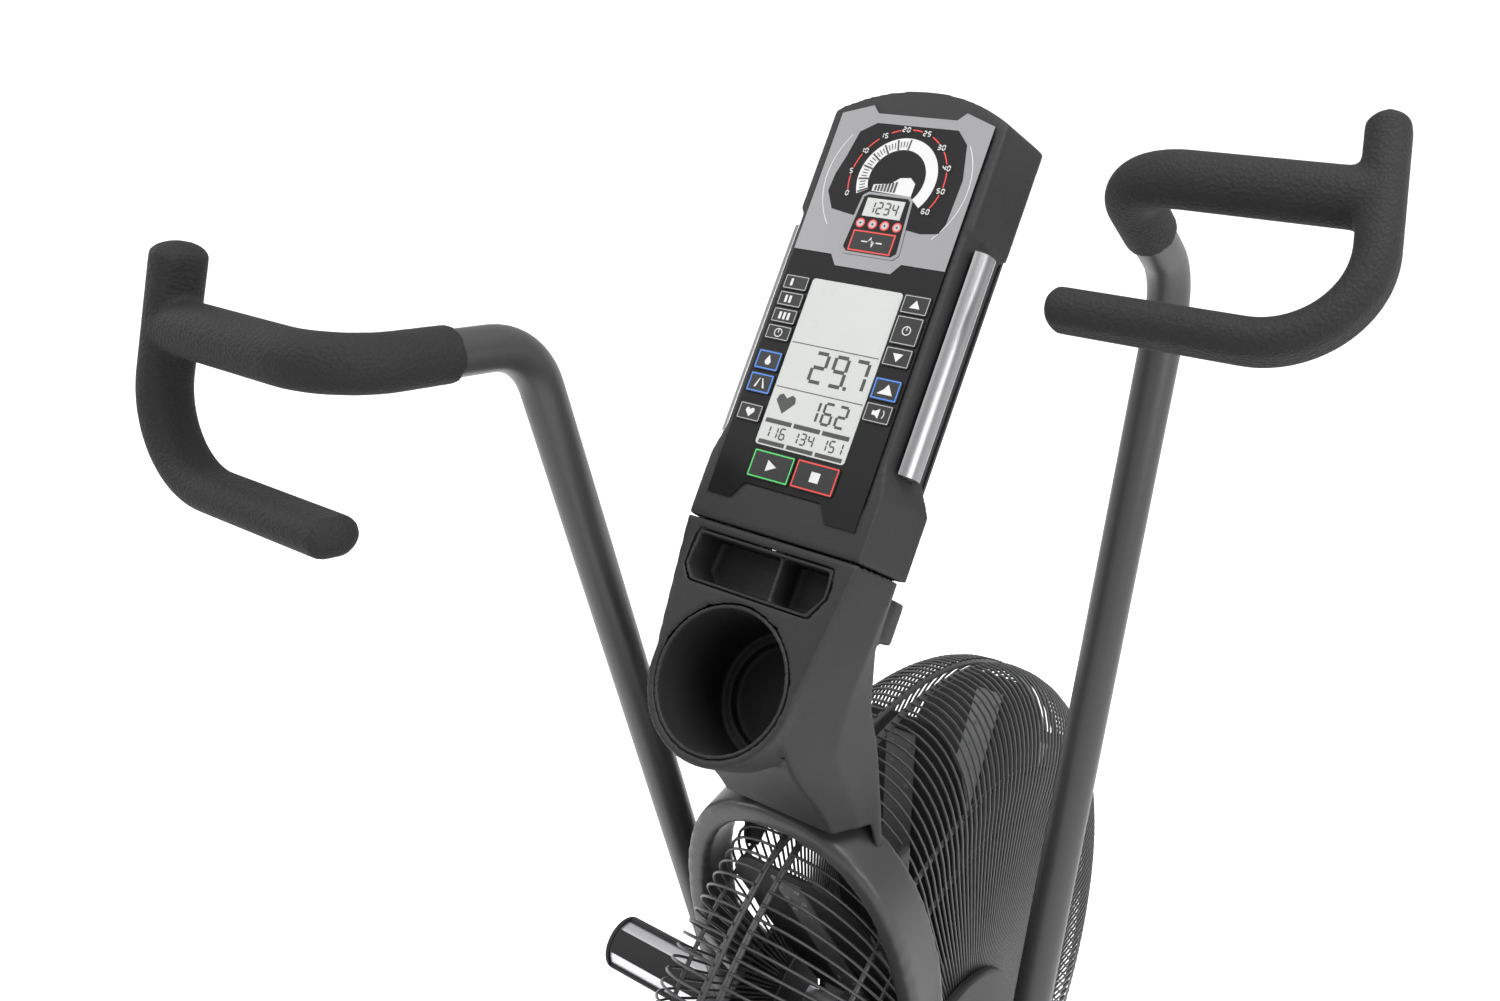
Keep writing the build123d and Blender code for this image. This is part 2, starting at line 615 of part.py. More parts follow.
def side_hook():
    """A small moulded hook on the right flank of the shroud."""
    hook = block(60, 72, -104, -72, -92, -73)
    return on_console(fillet(hook.edges().filter_by(Axis.Y).group_by(Axis.Z)[0], 4))


# --- seat ---------------------------------------------------------------------------------------
seat_axis = Plane(origin=(0, SEAT_BASE_Y, BEAM_TOP), x_dir=(1, 0, 0),
                  z_dir=(0, -sin(radians(SEAT_RAKE)), cos(radians(SEAT_RAKE))))
TUBE_TOP, POST_TOP = 470.0, 700.0


def seat_tube():
    tube = Pos(0, 0, TUBE_TOP / 2 - 20) * Cylinder(25.4, TUBE_TOP + 40)
    collar = Pos(0, 0, TUBE_TOP - 25) * Cylinder(29, 50)
    boss = Pos(0, -30, TUBE_TOP - 30) * Rot(90, 0, 0) * Cylinder(11, 20)
    tube = tube + collar + boss
    tube -= Pos(0, 0, TUBE_TOP / 2 + 5) * Cylinder(POST_R + 0.08, TUBE_TOP)
    tube -= Pos(0, -35, TUBE_TOP - 30) * Rot(90, 0, 0) * Cylinder(5.05, 40)
    return seat_axis.location * tube - block(-100, 100, -2000, 2000, -100, BEAM_TOP)


def seat_post():
    post = Pos(0, 0, (POST_TOP + 130) / 2) * Cylinder(POST_R, POST_TOP - 130)
    post -= Pos(0, 0, 125) * Cylinder(16, 500)
    for index in range(9):
        post -= Pos(0, -15, TUBE_TOP - 30 - 100 + 25 * index) * Rot(90, 0, 0) * Cylinder(5.6, 12)
    return seat_axis.location * post


def seat_pin():
    """The spring-loaded pull pin that locks the post's height."""
    pin = Pos(0, -31.3, TUBE_TOP - 30) * Rot(90, 0, 0) * Cylinder(5, 24)
    knob = Pos(0, -54, TUBE_TOP - 30) * Rot(90, 0, 0) * Cylinder(17, 22)
    knob = fillet(knob.edges(), 3)
    return seat_axis.location * (pin + knob)


def seat_top():
    y = seat_axis.origin.Y + seat_axis.z_dir.Y * POST_TOP
    z = seat_axis.origin.Z + seat_axis.z_dir.Z * POST_TOP
    return y, z


def seat_cradle():
    """The channel welded to the post, that the carriage slides along."""
    y, z = seat_top()
    cradle = block(-30, 30, y - 95, y + 95, z - 3, z + 27)
    return seat_post() + cradle - block(-22, 22, y - 96, y + 96, z + 3, z + 28) - shaft(20, 32, y, z + 15, 5.06)


def seat_carriage():
    y, z = seat_top()
    slide = block(-21.9, 21.9, y - 55, y + 55, z + 3.1, z + 24)
    neck = block(-15, 15, y - 40, y + 40, z + 24, z + 40)
    plate = block(-45, 45, y - 75, y + 75, z + 40, z + 45)
    return slide + neck + plate


def seat_clamp_knob():
    """The knob that locks the carriage, on a stem through the cradle's right wall."""
    y, z = seat_top()
    head = fillet(shaft(34, 50, y, z + 15, 17).edges(), 2.5)
    return head + shaft(25, 34, y, z + 15, 5)


def saddle_pan():
    y, z = seat_top()
    outline = saddle_outline(6)
    return Pos(0, y, z + 45) * extrude(outline, 8)


def saddle_outline(inset):
    half, nose = 122 - inset, 28 - inset
    points = [(-nose, 150 - inset), (nose, 150 - inset), (nose + 8, 60), (half - 20, -30), (half, -90),
              (half - 22, -132 + inset), (0, -126 + inset), (-half + 22, -132 + inset), (-half, -90),
              (-half + 20, -30), (-nose - 8, 60)]
    return make_face(Polyline(*points, close=True))


def saddle_cushion():
    y, z = seat_top()
    pad = Pos(0, y, z + 53) * extrude(saddle_outline(0), 48)
    return chamfer(pad.edges().group_by(Axis.Z)[-1], 8)


# --- wheels and fasteners -----------------------------------------------------------------------
WHEEL_X, WHEEL_Y, WHEEL_Z, WHEEL_R = 150.0, FRONT_Y + 57, 41.0, 29.0


def wheel_bracket():
    """Two cheeks welded to the front stabiliser."""
    cheek = side_plate([(FRONT_Y + 8, 30), (FRONT_Y + 8, 66), (WHEEL_Y + 10, 54), (WHEEL_Y + 10, 30)], 0, 4)
    cheek -= shaft(-1, 5, FRONT_Y, 45, 24)
    cheek -= shaft(-1, 5, WHEEL_Y, WHEEL_Z, 4)
    return [Pos(WHEEL_X - 17, 0, 0) * cheek, Pos(WHEEL_X + 13, 0, 0) * cheek]


def wheel_bolt():
    bolt = shaft(WHEEL_X - 17, WHEEL_X + 17, WHEEL_Y, WHEEL_Z, 4)
    return bolt + shaft(WHEEL_X + 17, WHEEL_X + 21, WHEEL_Y, WHEEL_Z, 7)


def wheel():
    tyre = fillet(shaft(WHEEL_X - 11, WHEEL_X + 11, WHEEL_Y, WHEEL_Z, WHEEL_R).edges(), 4)
    return tyre - shaft(WHEEL_X - 12, WHEEL_X + 12, WHEEL_Y, WHEEL_Z, 4.06)


def front_stabiliser():
    bracket = wheel_bolt()
    for cheek in wheel_bracket():
        bracket += cheek
    return stabiliser(FRONT_Y, 230) + bracket + mirrored(bracket)


def axle():
    """The fixed axle that the fan turns on, with a nut at each side plate."""
    bar_ = shaft(-121, 121, FAN_Y, FAN_Z, 10)
    nuts = shaft(115, 121, FAN_Y, FAN_Z, 15) + shaft(-121, -115, FAN_Y, FAN_Z, 15)
    return bar_ + nuts


def fan_bearings():
    races = [shaft(x, x + 12, FAN_Y, FAN_Z, 15.95) - shaft(x - 1, x + 13, FAN_Y, FAN_Z, 10.05)
             for x in (-46, 34)]
    return Compound(children=races)


# --- write every node ---------------------------------------------------------------------------
save(main_beam() + cross_member() + stabiliser_saddle(REAR_Y, 32) + crank_tower(), "main_beam")
save(side_rail() + mirrored(side_rail()) + stabiliser_saddle(FRONT_Y, 108), "side_rails")
save(Compound(children=[stabiliser(REAR_Y, 270), front_stabiliser()]), "stabilisers")
save_pair(fork_leg() + axle_plate(), "fork_legs")
save(frame_yoke() + console_mast(), "yoke")
save(seat_tube(), "seat_tube")

foot_caps = [end_cap(270, REAR_Y), mirrored(end_cap(270, REAR_Y)),
             end_cap(230, FRONT_Y), mirrored(end_cap(230, FRONT_Y))]
save(Compound(children=foot_caps), "foot_caps")
save_pair(pivot_stub() + foot_peg(), "foot_pegs")
save_pair(Compound(children=[peg_cap()] + list(peg_pads().solids())), "peg_rubbers")

save(fan_cage(), "fan_cage_right")
save(mirrored(fan_cage()), "fan_cage_left")
save(mirrored(hub_cover()), "hub_cover")
save(axle(), "fan_axle")
save(fan_hub() + pulley(FAN_Y, FAN_Z, BELT_R_SMALL, 16), "fan_hub")
save(fan_blades(), "fan_blades")
save(Compound(children=around_fan(blade_bracket())), "blade_brackets")

save(pulley(CRANK_Y, CRANK_Z, BELT_R_BIG, 12.5), "drive_pulley")
save(belt_loop(2.6) - belt_loop(0.3), "drive_belt")
save(belt_guard(), "belt_guard")
save(crank_spindle(), "crank_spindle")
save(Compound(children=list(crank_bearings().solids()) + list(fan_bearings().solids())), "bearings")
cranks = [crank_web(CRANK_ANGLE), crank_arm(CRANK_ANGLE)]
cranks += [mirrored(crank_web(CRANK_ANGLE + 180)), mirrored(crank_arm(CRANK_ANGLE + 180))]
save(Compound(children=cranks), "crank_arms")
save(pedal(CRANK_ANGLE), "pedal_right")
save(mirrored(pedal(CRANK_ANGLE + 180)), "pedal_left")

left_turn = SWING
save(arm(), "arm_right")
save(turned(mirrored(arm()), left_turn, PIVOT_Y, PIVOT_Z), "arm_left")
save(Compound(children=[top_grip(), loop_grip()]), "grip_right")
left_grips = [turned(mirrored(piece), left_turn, PIVOT_Y, PIVOT_Z) for piece in (top_grip(), loop_grip())]
save(Compound(children=left_grips), "grip_left")
save(rod(), "rod_right")
save(left_rod(), "rod_left")

save(on_console(console_housing()), "console_housing")
save(on_console(console_back()), "console_back")
save(on_console(Compound(children=[side_trim(1), side_trim(-1)])), "console_trims")
save(face_panel(), "face_panel")
save(gauge_plate(), "gauge_plate")
save(Compound(children=[main_display(), circuit_board()]), "display_module")
for name in KEYS:
    save(key(name), name)
save(shroud(), "shroud")
save(Compound(children=[bottle_cup(), phone_tray()]), "cup_and_tray")

save(seat_cradle(), "seat_post")
save(seat_pin(), "seat_pin")
save(seat_carriage() + saddle_pan(), "seat_carriage")
save(seat_clamp_knob(), "seat_knob")
save(saddle_cushion(), "saddle_cushion")
save(wheel(), "wheel_right")
save(mirrored(wheel()), "wheel_left")
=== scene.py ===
# %% [markdown]
# # An air bike
# This lesson dresses a finished CAD model of an air bike. The model is the fixed frame: it holds
# every size, and Blender adds the finish, the fine wires and the soft parts. Lengths are in metres,
# apart from the console's own grid, which is in millimetres. +Y is ahead of the rider, +X is to the
# rider's right and the floor is at zero.

# %% Load the frame
import math
import bmesh
import bpy
from mathutils import Matrix, Vector


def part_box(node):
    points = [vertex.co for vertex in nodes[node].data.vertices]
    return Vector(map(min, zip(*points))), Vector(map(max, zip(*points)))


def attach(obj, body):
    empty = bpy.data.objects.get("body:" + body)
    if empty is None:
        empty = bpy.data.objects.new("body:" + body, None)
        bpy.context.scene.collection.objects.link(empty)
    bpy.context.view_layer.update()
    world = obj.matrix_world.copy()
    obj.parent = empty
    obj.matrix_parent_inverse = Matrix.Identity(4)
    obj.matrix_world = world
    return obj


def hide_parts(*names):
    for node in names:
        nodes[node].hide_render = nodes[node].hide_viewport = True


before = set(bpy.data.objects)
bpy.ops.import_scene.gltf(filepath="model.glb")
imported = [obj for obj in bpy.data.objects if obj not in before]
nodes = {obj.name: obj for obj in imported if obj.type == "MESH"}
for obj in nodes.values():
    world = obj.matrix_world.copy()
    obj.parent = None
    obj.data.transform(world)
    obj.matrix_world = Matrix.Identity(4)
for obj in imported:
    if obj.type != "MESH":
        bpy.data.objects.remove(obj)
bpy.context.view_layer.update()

# %% [markdown]
# ## Where things are
# The cage gives the fan's middle, and other places are measured from that point. The console is a
# raked flat face, so its prints are laid out on a flat grid of (across, up, out), and one function
# turns that grid into place. The other way, a parent object, would leave pieces off the origin.

# %% Places from the frame
MM = 0.001
rings_low, rings_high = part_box("fan_cage_right")
FAN_Y = (rings_low[1] + rings_high[1]) / 2
FAN_Z = (rings_low[2] + rings_high[2]) / 2


def from_fan(across, ahead, above):
    """A point measured from the middle of the fan."""
    return Vector((across, FAN_Y + ahead, FAN_Z + above))


CONSOLE_RAKE = math.radians(34.52)
CONSOLE_FOOT = from_fan(0, -0.1704, 0.6708)
UP = Vector((0, math.sin(CONSOLE_RAKE), math.cos(CONSOLE_RAKE)))
OUT = Vector((0, -math.cos(CONSOLE_RAKE), math.sin(CONSOLE_RAKE)))


def on_console(across, up, out):
    """A point on the console's face, from millimetres across, up and out of it."""
    return CONSOLE_FOOT + Vector((across * MM, 0, 0)) + UP * up * MM + OUT * out * MM


print("fan axle", round(FAN_Y, 4), round(FAN_Z, 4))

# %% [markdown]
# ## Shader maths
# A shader is a graph of nodes. Writing the graph as sums keeps it readable, so a small class
# wraps a socket and turns each operator into a Math node. A second class holds one material.

# %% A socket that can be added and multiplied


class Value:
    """One number that changes over a surface, as a socket in a material's graph."""

    def __init__(self, finish, socket):
        self.finish, self.socket = finish, socket

    def maths(self, operation, first, second):
        node = self.finish.node("ShaderNodeMath", {"operation": operation}, [first, second])
        return Value(self.finish, node.outputs[0])

    def __add__(self, other):
        return self.maths("ADD", self, other)

    def __radd__(self, other):
        return self.maths("ADD", other, self)

    def __mul__(self, other):
        return self.maths("MULTIPLY", self, other)

    def __rmul__(self, other):
        return self.maths("MULTIPLY", other, self)


print("a value knows + and *")

# %% One material and its graph
# A Mix node lists its sockets for numbers, vectors and colours in turn. These are its factor, its
# two colours and the colour that it gives.
MIX_FACTOR, MIX_FIRST, MIX_SECOND, MIX_RESULT = 0, 6, 7, 2


class Finish:
    """One material: a Principled shader with the graph that feeds it."""

    def __init__(self, name):
        self.material = bpy.data.materials.new(name)
        self.material.use_nodes = True
        self.tree = self.material.node_tree
        self.shader = self.tree.nodes["Principled BSDF"]
        self.place = self.node("ShaderNodeTexCoord").outputs["Object"]

    def node(self, kind, settings=None, inputs=None):
        """A new node: its settings first, then the value or link of each socket."""
        made = self.tree.nodes.new(kind)
        for key, value in (settings or {}).items():
            setattr(made, key, value)
        pairs = inputs.items() if isinstance(inputs, dict) else enumerate(inputs or [])
        for key, value in pairs:
            self.feed(made.inputs[key], value)
        return made

    def feed(self, socket, value):
        """Gives a socket a plain value, or links it to what makes the value."""
        if isinstance(value, Value):
            value = value.socket
        if isinstance(value, bpy.types.NodeSocket):
            self.tree.links.new(value, socket)
        else:
            socket.default_value = value

    def noise(self, scale, detail=3.0, place=None):
        """Soft clouds, about this many to a metre."""
        where = self.place if place is None else place
        inputs = {"Vector": where, "Scale": scale, "Detail": detail}
        return Value(self, self.node("ShaderNodeTexNoise", None, inputs).outputs[0])

    def cells(self, scale):
        """Small rounded pits, about this many to a metre."""
        inputs = {"Vector": self.place, "Scale": scale}
        return Value(self, self.node("ShaderNodeTexVoronoi", None, inputs).outputs["Distance"])

    def between(self, mask, first, second):
        """A colour that goes from the first to the second as the mask goes from 0 to 1."""
        mix = self.node("ShaderNodeMix", {"data_type": "RGBA"})
        self.feed(mix.inputs[MIX_FACTOR], mask)
        self.feed(mix.inputs[MIX_FIRST], (*first, 1))
        self.feed(mix.inputs[MIX_SECOND], (*second, 1))
        return mix.outputs[MIX_RESULT]

    def bump(self, height, strength, distance):
        """Leans the surface's normal as if it had this height."""
        inputs = {"Height": height, "Strength": strength, "Distance": distance}
        self.feed(self.shader.inputs["Normal"], self.node("ShaderNodeBump", None, inputs).outputs[0])

    def set(self, **values):
        """Feeds the shader's own sockets, with _ for each space in their names."""
        for name, value in values.items():
            self.feed(self.shader.inputs[name.replace("_", " ")], value)


print("a finish has noise, cells and bump")

# %% [markdown]
# ## Powder-coated steel
# The tubes, arms and wires are steel under baked powder, which dries with a fine orange peel. Paint
# could be one flat colour, but real coating drifts a little in tone and gloss, so slow noise moves
# both and fast noise makes the peel.

# %% Coated steel
BLUE_CAST = 1.03
COAT_DRIFT = 9.0
PEEL_STRENGTH, PEEL_DEPTH = 0.12, 0.0002


def grey(level):
    """A grey that is a touch cold, as dark paint and plastic are."""
    return (level, level, level * BLUE_CAST)


def coated(name, level, rough, peel):
    """Powder coat of this darkness, with peel bumps to a metre."""
    finish = Finish(name)
    drift = finish.noise(COAT_DRIFT)
    skin = finish.noise(peel, 2.0)
    finish.set(Base_Color=finish.between(drift, grey(level * 0.88), grey(level * 1.14)),
               Roughness=rough + 0.10 * drift, Specular_IOR_Level=0.45)
    finish.bump(skin, PEEL_STRENGTH, PEEL_DEPTH)
    return finish.material


frame_paint = coated("frame_paint", 0.030, 0.34, 1500.0)
arm_paint = coated("arm_paint", 0.032, 0.32, 1500.0)
wire_paint = coated("wire_paint", 0.032, 0.34, 1200.0)
blade_paint = coated("blade", 0.008, 0.45, 900.0)
print("coated steels ready")

# %% [markdown]
# ## Plastic, foam and rubber
# Moulded plastic has a tight sandy grain that the mould is etched with, and foam and rubber have
# larger pits. All of them are the same recipe: cells make the pits, and a depth says how deep.

# %% Moulded plastic and rubber
MOULDING_DRIFT = 6.0
GRAIN_STRENGTH = 0.45


def moulded(name, level, rough, grain, depth):
    """A moulded skin of this darkness, with grain pits to a metre."""
    finish = Finish(name)
    sand = finish.cells(grain)
    drift = finish.noise(MOULDING_DRIFT)
    finish.set(Base_Color=finish.between(drift, grey(level * 0.9), grey(level * 1.1)),
               Roughness=rough + 0.08 * sand, Specular_IOR_Level=0.30)
    finish.bump(sand, GRAIN_STRENGTH, depth)
    return finish.material


moulding = moulded("moulding", 0.014, 0.50, 1300.0, 0.00025)
foam = moulded("foam", 0.011, 0.72, 420.0, 0.0016)
black_rubber = moulded("black_rubber", 0.016, 0.72, 900.0, 0.0003)
nylon = moulded("pulley_plastic", 0.022, 0.45, 800.0, 0.0002)
belt_rubber = moulded("belt_rubber", 0.012, 0.70, 600.0, 0.0003)
key_plastic = moulded("key_plastic", 0.012, 0.40, 1500.0, 0.0001)
tyre = moulded("tyre", 0.022, 0.75, 400.0, 0.0004)
print("mouldings ready")

# %% [markdown]
# ## Bright metal
# The gauge plate, trims and pegs are brushed, which leaves fine lines one way. A line is noise
# squeezed on two axes and left long on the third, so it needs no picture of brushed metal.

# %% Bright metal
LINE_STRENGTH, LINE_DEPTH = 0.10, 0.00015


def brushed(name, level, rough, stretch):
    """Bare metal whose lines run along the axis that has the smallest stretch."""
    finish = Finish(name)
    turned = finish.node("ShaderNodeMapping", None, {"Vector": finish.place, "Scale": stretch})
    line = finish.noise(1.0, 2.0, turned.outputs[0])
    finish.set(Base_Color=finish.between(line, grey(level * 0.82), grey(level)), Metallic=0.9,
               Roughness=rough + 0.14 * line)
    finish.bump(line, LINE_STRENGTH, LINE_DEPTH)
    return finish.material


silver_plate = brushed("silver_plate", 0.24, 0.42, (25.0, 2200.0, 2200.0))
trim_silver = brushed("trim", 0.30, 0.24, (2200.0, 20.0, 20.0))
steel = brushed("steel", 0.52, 0.28, (900.0, 900.0, 900.0))
bracket_steel = brushed("bracket_steel", 0.26, 0.42, (700.0, 700.0, 90.0))
peg_metal = brushed("peg_metal", 0.66, 0.26, (40.0, 1800.0, 1800.0))
print("metals ready")

# %% [markdown]
# ## Panel, display and saddle skin
# The face panel is a glossy black overlay, handled until it smears. The display is pale glass over
# a grey cell. The saddle is vinyl with a pressed grain, which wears shinier in places.

# %% Display, printed overlay and saddle cover


def printed_overlay():
    finish = Finish("panel_black")
    smear = finish.noise(14.0)
    finish.set(Base_Color=finish.between(smear, grey(0.006), grey(0.010)),
               Roughness=0.16 + 0.10 * smear, Specular_IOR_Level=0.12)
    return finish.material


def pale_display():
    finish = Finish("display")
    wave = finish.noise(20.0)
    finish.set(Base_Color=finish.between(wave, (0.36, 0.37, 0.36), (0.40, 0.41, 0.40)),
               Roughness=0.25 + 0.06 * wave, Specular_IOR_Level=0.2)
    return finish.material


def embossed_vinyl():
    finish = Finish("saddle_cover")
    grain = finish.cells(420.0)
    wear = finish.noise(7.0)
    finish.set(Base_Color=finish.between(wear, grey(0.013), grey(0.022)),
               Roughness=0.46 + 0.18 * wear)
    finish.bump(grain, 0.35, 0.0006)
    return finish.material


panel_black = printed_overlay()
display_pale = pale_display()
vinyl = embossed_vinyl()
print("special finishes ready")

# %% [markdown]
# ## Finishes onto the frame
# A CAD node keeps its shape and takes a finish. One table holds the whole list, so it is easy to
# see which pieces share a paint.

# %% Give each node its finish
FINISHES = {
    frame_paint: ["main_beam", "side_rails", "stabilisers", "fork_legs", "seat_tube", "rod_right",
                  "rod_left", "crank_arms", "yoke", "seat_post"],
    arm_paint: ["arm_right", "arm_left"],
    moulding: ["belt_guard", "hub_cover", "console_housing", "console_back", "shroud",
               "cup_and_tray", "pedal_right", "pedal_left"],
    foam: ["grip_right", "grip_left"],
    panel_black: ["face_panel"],
    silver_plate: ["gauge_plate"],
    trim_silver: ["console_trims"],
    display_pale: ["display_module"],
    wire_paint: ["fan_cage_right", "fan_cage_left"],
    blade_paint: ["fan_blades"],
    bracket_steel: ["blade_brackets"],
    nylon: ["fan_hub", "drive_pulley"],
    steel: ["fan_axle", "bearings", "crank_spindle", "seat_carriage"],
    peg_metal: ["foot_pegs"],
    black_rubber: ["peg_rubbers", "foot_caps"],
    belt_rubber: ["drive_belt"],
    tyre: ["wheel_right", "wheel_left"],
    vinyl: ["saddle_cushion"],
    key_plastic: ["seat_pin", "seat_knob"] + [name for name in nodes if name.startswith("key_")],
}
for material, names in FINISHES.items():
    for name in names:
        mesh = nodes[name].data
        mesh.materials.clear()
        mesh.materials.append(material)
print("dressed", sum(len(names) for names in FINISHES.values()), "nodes")

# %% [markdown]
# ## New pieces
# A new piece is an object that holds a mesh and is linked into the scene. Where modifiers shape it,
# the finished mesh is read from the evaluated object and replaces the plain one. CAD shells are
# loose triangles, so a copy is merged at its corners before anything is done to it.

# %% Add a piece, merge it and read its finished mesh
MERGE_WITHIN = 1e-5


def linked(name, data):
    """A new object at the origin that holds this data."""
    piece = bpy.data.objects.new(name, data)
    bpy.context.scene.collection.objects.link(piece)
    return piece


def merged(mesh):
    """The mesh as an editable shell, with the loose triangles' corners joined."""
    shell = bmesh.new()
    shell.from_mesh(mesh)
    bmesh.ops.remove_doubles(shell, verts=shell.verts, dist=MERGE_WITHIN)
    return shell


def finished_mesh(piece):
    """The mesh that the piece's modifiers make of it."""
    bpy.context.view_layer.update()
    graph = bpy.context.evaluated_depsgraph_get()
    return bpy.data.meshes.new_from_object(piece.evaluated_get(graph))


def even_skin(piece, voxel, passes):
    """Rebuilds a piece as a skin of small squares, and relaxes it so that its corners round."""
    remesh = piece.modifiers.new("even skin", "REMESH")
    remesh.mode = "VOXEL"
    remesh.voxel_size = voxel
    remesh.use_smooth_shade = True
    relax = piece.modifiers.new("relax", "SMOOTH")
    relax.factor = 0.5
    relax.iterations = passes
    skin = finished_mesh(piece)
    piece.modifiers.clear()
    piece.data = skin


print("helpers ready")

# %% [markdown]
# ## Softened mouldings
# A moulded shell has no knife edge: the tool leaves a radius on every corner. A bevel breaks down
# where many faces meet, so a copy of the CAD shell is rebuilt as an even skin and relaxed. More
# passes over the skin give a rounder corner.

# %% Round the corners of a shell


def softened(node, voxel, passes, body="frame", domes=()):
    """A rounded copy of a CAD shell. Each dome is a matrix that turns a unit ball into an end cap."""
    source = nodes[node]
    piece = linked(node + "_skin", source.data.copy())
    shell = merged(piece.data)
    bmesh.ops.recalc_face_normals(shell, faces=shell.faces)
    for dome in domes:
        bmesh.ops.create_icosphere(shell, subdivisions=3, radius=1.0, matrix=dome)
    shell.to_mesh(piece.data)
    shell.free()
    even_skin(piece, voxel, passes)
    piece.data.materials.clear()
    piece.data.materials.append(source.data.materials[0])
    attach(piece, body)
    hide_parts(node)
    print(piece.name, len(piece.data.polygons), "faces")
    return piece


softened("cup_and_tray", 0.0016, 5)
softened("console_housing", 0.0018, 14)
softened("yoke", 0.0035, 6)

# %% [markdown]
# ## The shroud's foot
# The shroud hangs over the crown of the yoke like a skirt: its foot stands clear of the tube in the
# middle and drops lower at the flanks. A smooth climb moves only the points that are near the foot,
# which keeps the rest of the moulding as it was.

# %% Reshape the shroud's foot
FOOT_TOP, FOOT_BOTTOM = 0.480, 0.385
FOOT_FORWARD, FOOT_DROP = 0.018, 0.050


def ease(value, low, high):
    """0 below low, 1 above high, and a smooth climb between."""
    t = min(max((value - low) / (high - low), 0.0), 1.0)
    return t * t * (3 - 2 * t)


shroud_skin = softened("shroud", 0.0019, 8)
for point in shroud_skin.data.vertices:
    across, ahead, height = abs(point.co.x), point.co.y - FAN_Y, point.co.z - FAN_Z
    foot = 1 - ease(height, FOOT_BOTTOM, FOOT_TOP)
    rider_side = 1 - ease(ahead, -0.200, -0.150)
    flank = ease(across, 0.040, 0.062) * ease(ahead, -0.172, -0.150)
    point.co.y += FOOT_FORWARD * foot * rider_side
    point.co.z -= FOOT_DROP * foot * flank

# %% [markdown]
# ## Disc covers
# The hub cover and the belt guard are thin turned shells with few corners, so a small bevel is
# enough, and it keeps their flat faces flat. Weighted normals stop the bevel from shading the faces
# beside it.

# %% Bevel the covers' corners
COVER_CORNER = 0.0015
COVER_SHARP = math.radians(50)

for name in ("belt_guard", "hub_cover"):
    shell = nodes[name]
    weld = shell.modifiers.new("weld", "WELD")
    weld.merge_threshold = MERGE_WITHIN
    round_off = shell.modifiers.new("round off", "BEVEL")
    round_off.width = COVER_CORNER
    round_off.segments = 3
    round_off.limit_method = "ANGLE"
    round_off.angle_limit = COVER_SHARP
    for face in shell.data.polygons:
        face.use_smooth = True
    smooth = shell.modifiers.new("even shade", "WEIGHTED_NORMAL")
    smooth.keep_sharp = False
print("cover corners rounded")

# %% [markdown]
# ## Foam grips
# The hand grips are closed-cell foam pulled over the tube, with rounded ends and a pebbled skin.
# The even skin gives the soft ends, once a flattened ball closes each end, and the finish gives
# the pebbles. The left arm's ends are the right arm's, mirrored and swung back about the pivot.

# %% Foam on the arms
ARM_PIVOT = from_fan(0, -0.049, -0.005)
ARM_SWING = math.radians(27.7)
LOOP_TOP = from_fan(0.3081, 0.0015, 0.8986)
LOOP_CORNER = from_fan(0.3379, -0.0906, 0.7807)
LOOP_END = from_fan(0.1470, -0.0906, 0.7807)
DOME_SIZE = (0.0128, 0.0188, 0.008, 1)
DOME_SINK = 0.001
NEARLY_LEVEL = 0.9


def end_dome(tip, behind):
    """A flattened ball that closes the foam past the end of the loop's steel core."""
    run = (tip - behind).normalized()
    wide = Vector((1, 0, 0))
    if abs(run.x) > NEARLY_LEVEL:
        wide = (LOOP_TOP - LOOP_CORNER).normalized()
    wide = (wide - run * wide.dot(run)).normalized()
    turn = Matrix((wide, run.cross(wide), run)).transposed().to_4x4()
    return Matrix.Translation(tip - run * DOME_SINK) @ turn @ Matrix.Diagonal(DOME_SIZE)


def left_of(place):
    """The right arm's matrix carried to the left arm, which starts at the far end of its swing."""
    swung = Matrix.Rotation(ARM_SWING, 4, "X")
    back = Matrix.Translation(ARM_PIVOT) @ swung @ Matrix.Translation(-ARM_PIVOT)
    return back @ Matrix.Scale(-1, 4, (1, 0, 0)) @ place


right_domes = [end_dome(LOOP_TOP, LOOP_CORNER), end_dome(LOOP_END, LOOP_CORNER)]
left_domes = [left_of(dome) for dome in right_domes]
for side, domes in (("right", right_domes), ("left", left_domes)):
    grip = softened("grip_" + side, 0.0022, 6, side + "_arm", domes)

# %% [markdown]
# ## Cage wires
# A fan cage is one bent wire repeated round the axle and welded to a few rings. The CAD cage has
# fewer wires, to stay light. Geometry Nodes suit this: one wire is drawn once, and a tree turns
# copies of it about the axle. The bend is a squared-off quarter ellipse, from the rim to the cover.

# %% Draw one wire
CAGE_RIM, CAGE_WAIST = 0.386, 0.262
CAGE_HALF, CAGE_FLAT = 0.078, 0.007
BEND_STEPS, BEND_POWER = 10, 1 / 1.2
COVER_ENDS = ((0.0845, 0.150), (0.085, 0.090))


def wire_points(side):
    """One wire from the rim to the hub cover, as offsets from the fan's middle."""
    points = []
    for step in range(BEND_STEPS + 1):
        turn = math.pi / 2 * step / BEND_STEPS
        out = CAGE_FLAT + (CAGE_HALF - CAGE_FLAT) * math.sin(turn) ** BEND_POWER
        reach = CAGE_WAIST + (CAGE_RIM - CAGE_WAIST) * max(math.cos(turn), 0.0) ** BEND_POWER
        points.append(Vector((side * out, 0, reach)))
    points += [Vector((side * out, 0, reach)) for out, reach in COVER_ENDS]
    return points


def wire_mesh(name, side):
    """The wire as a chain of edges, which the tree makes round."""
    points = wire_points(side)
    mesh = bpy.data.meshes.new(name)
    mesh.from_pydata(points, [(i, i + 1) for i in range(len(points) - 1)], [])
    return mesh


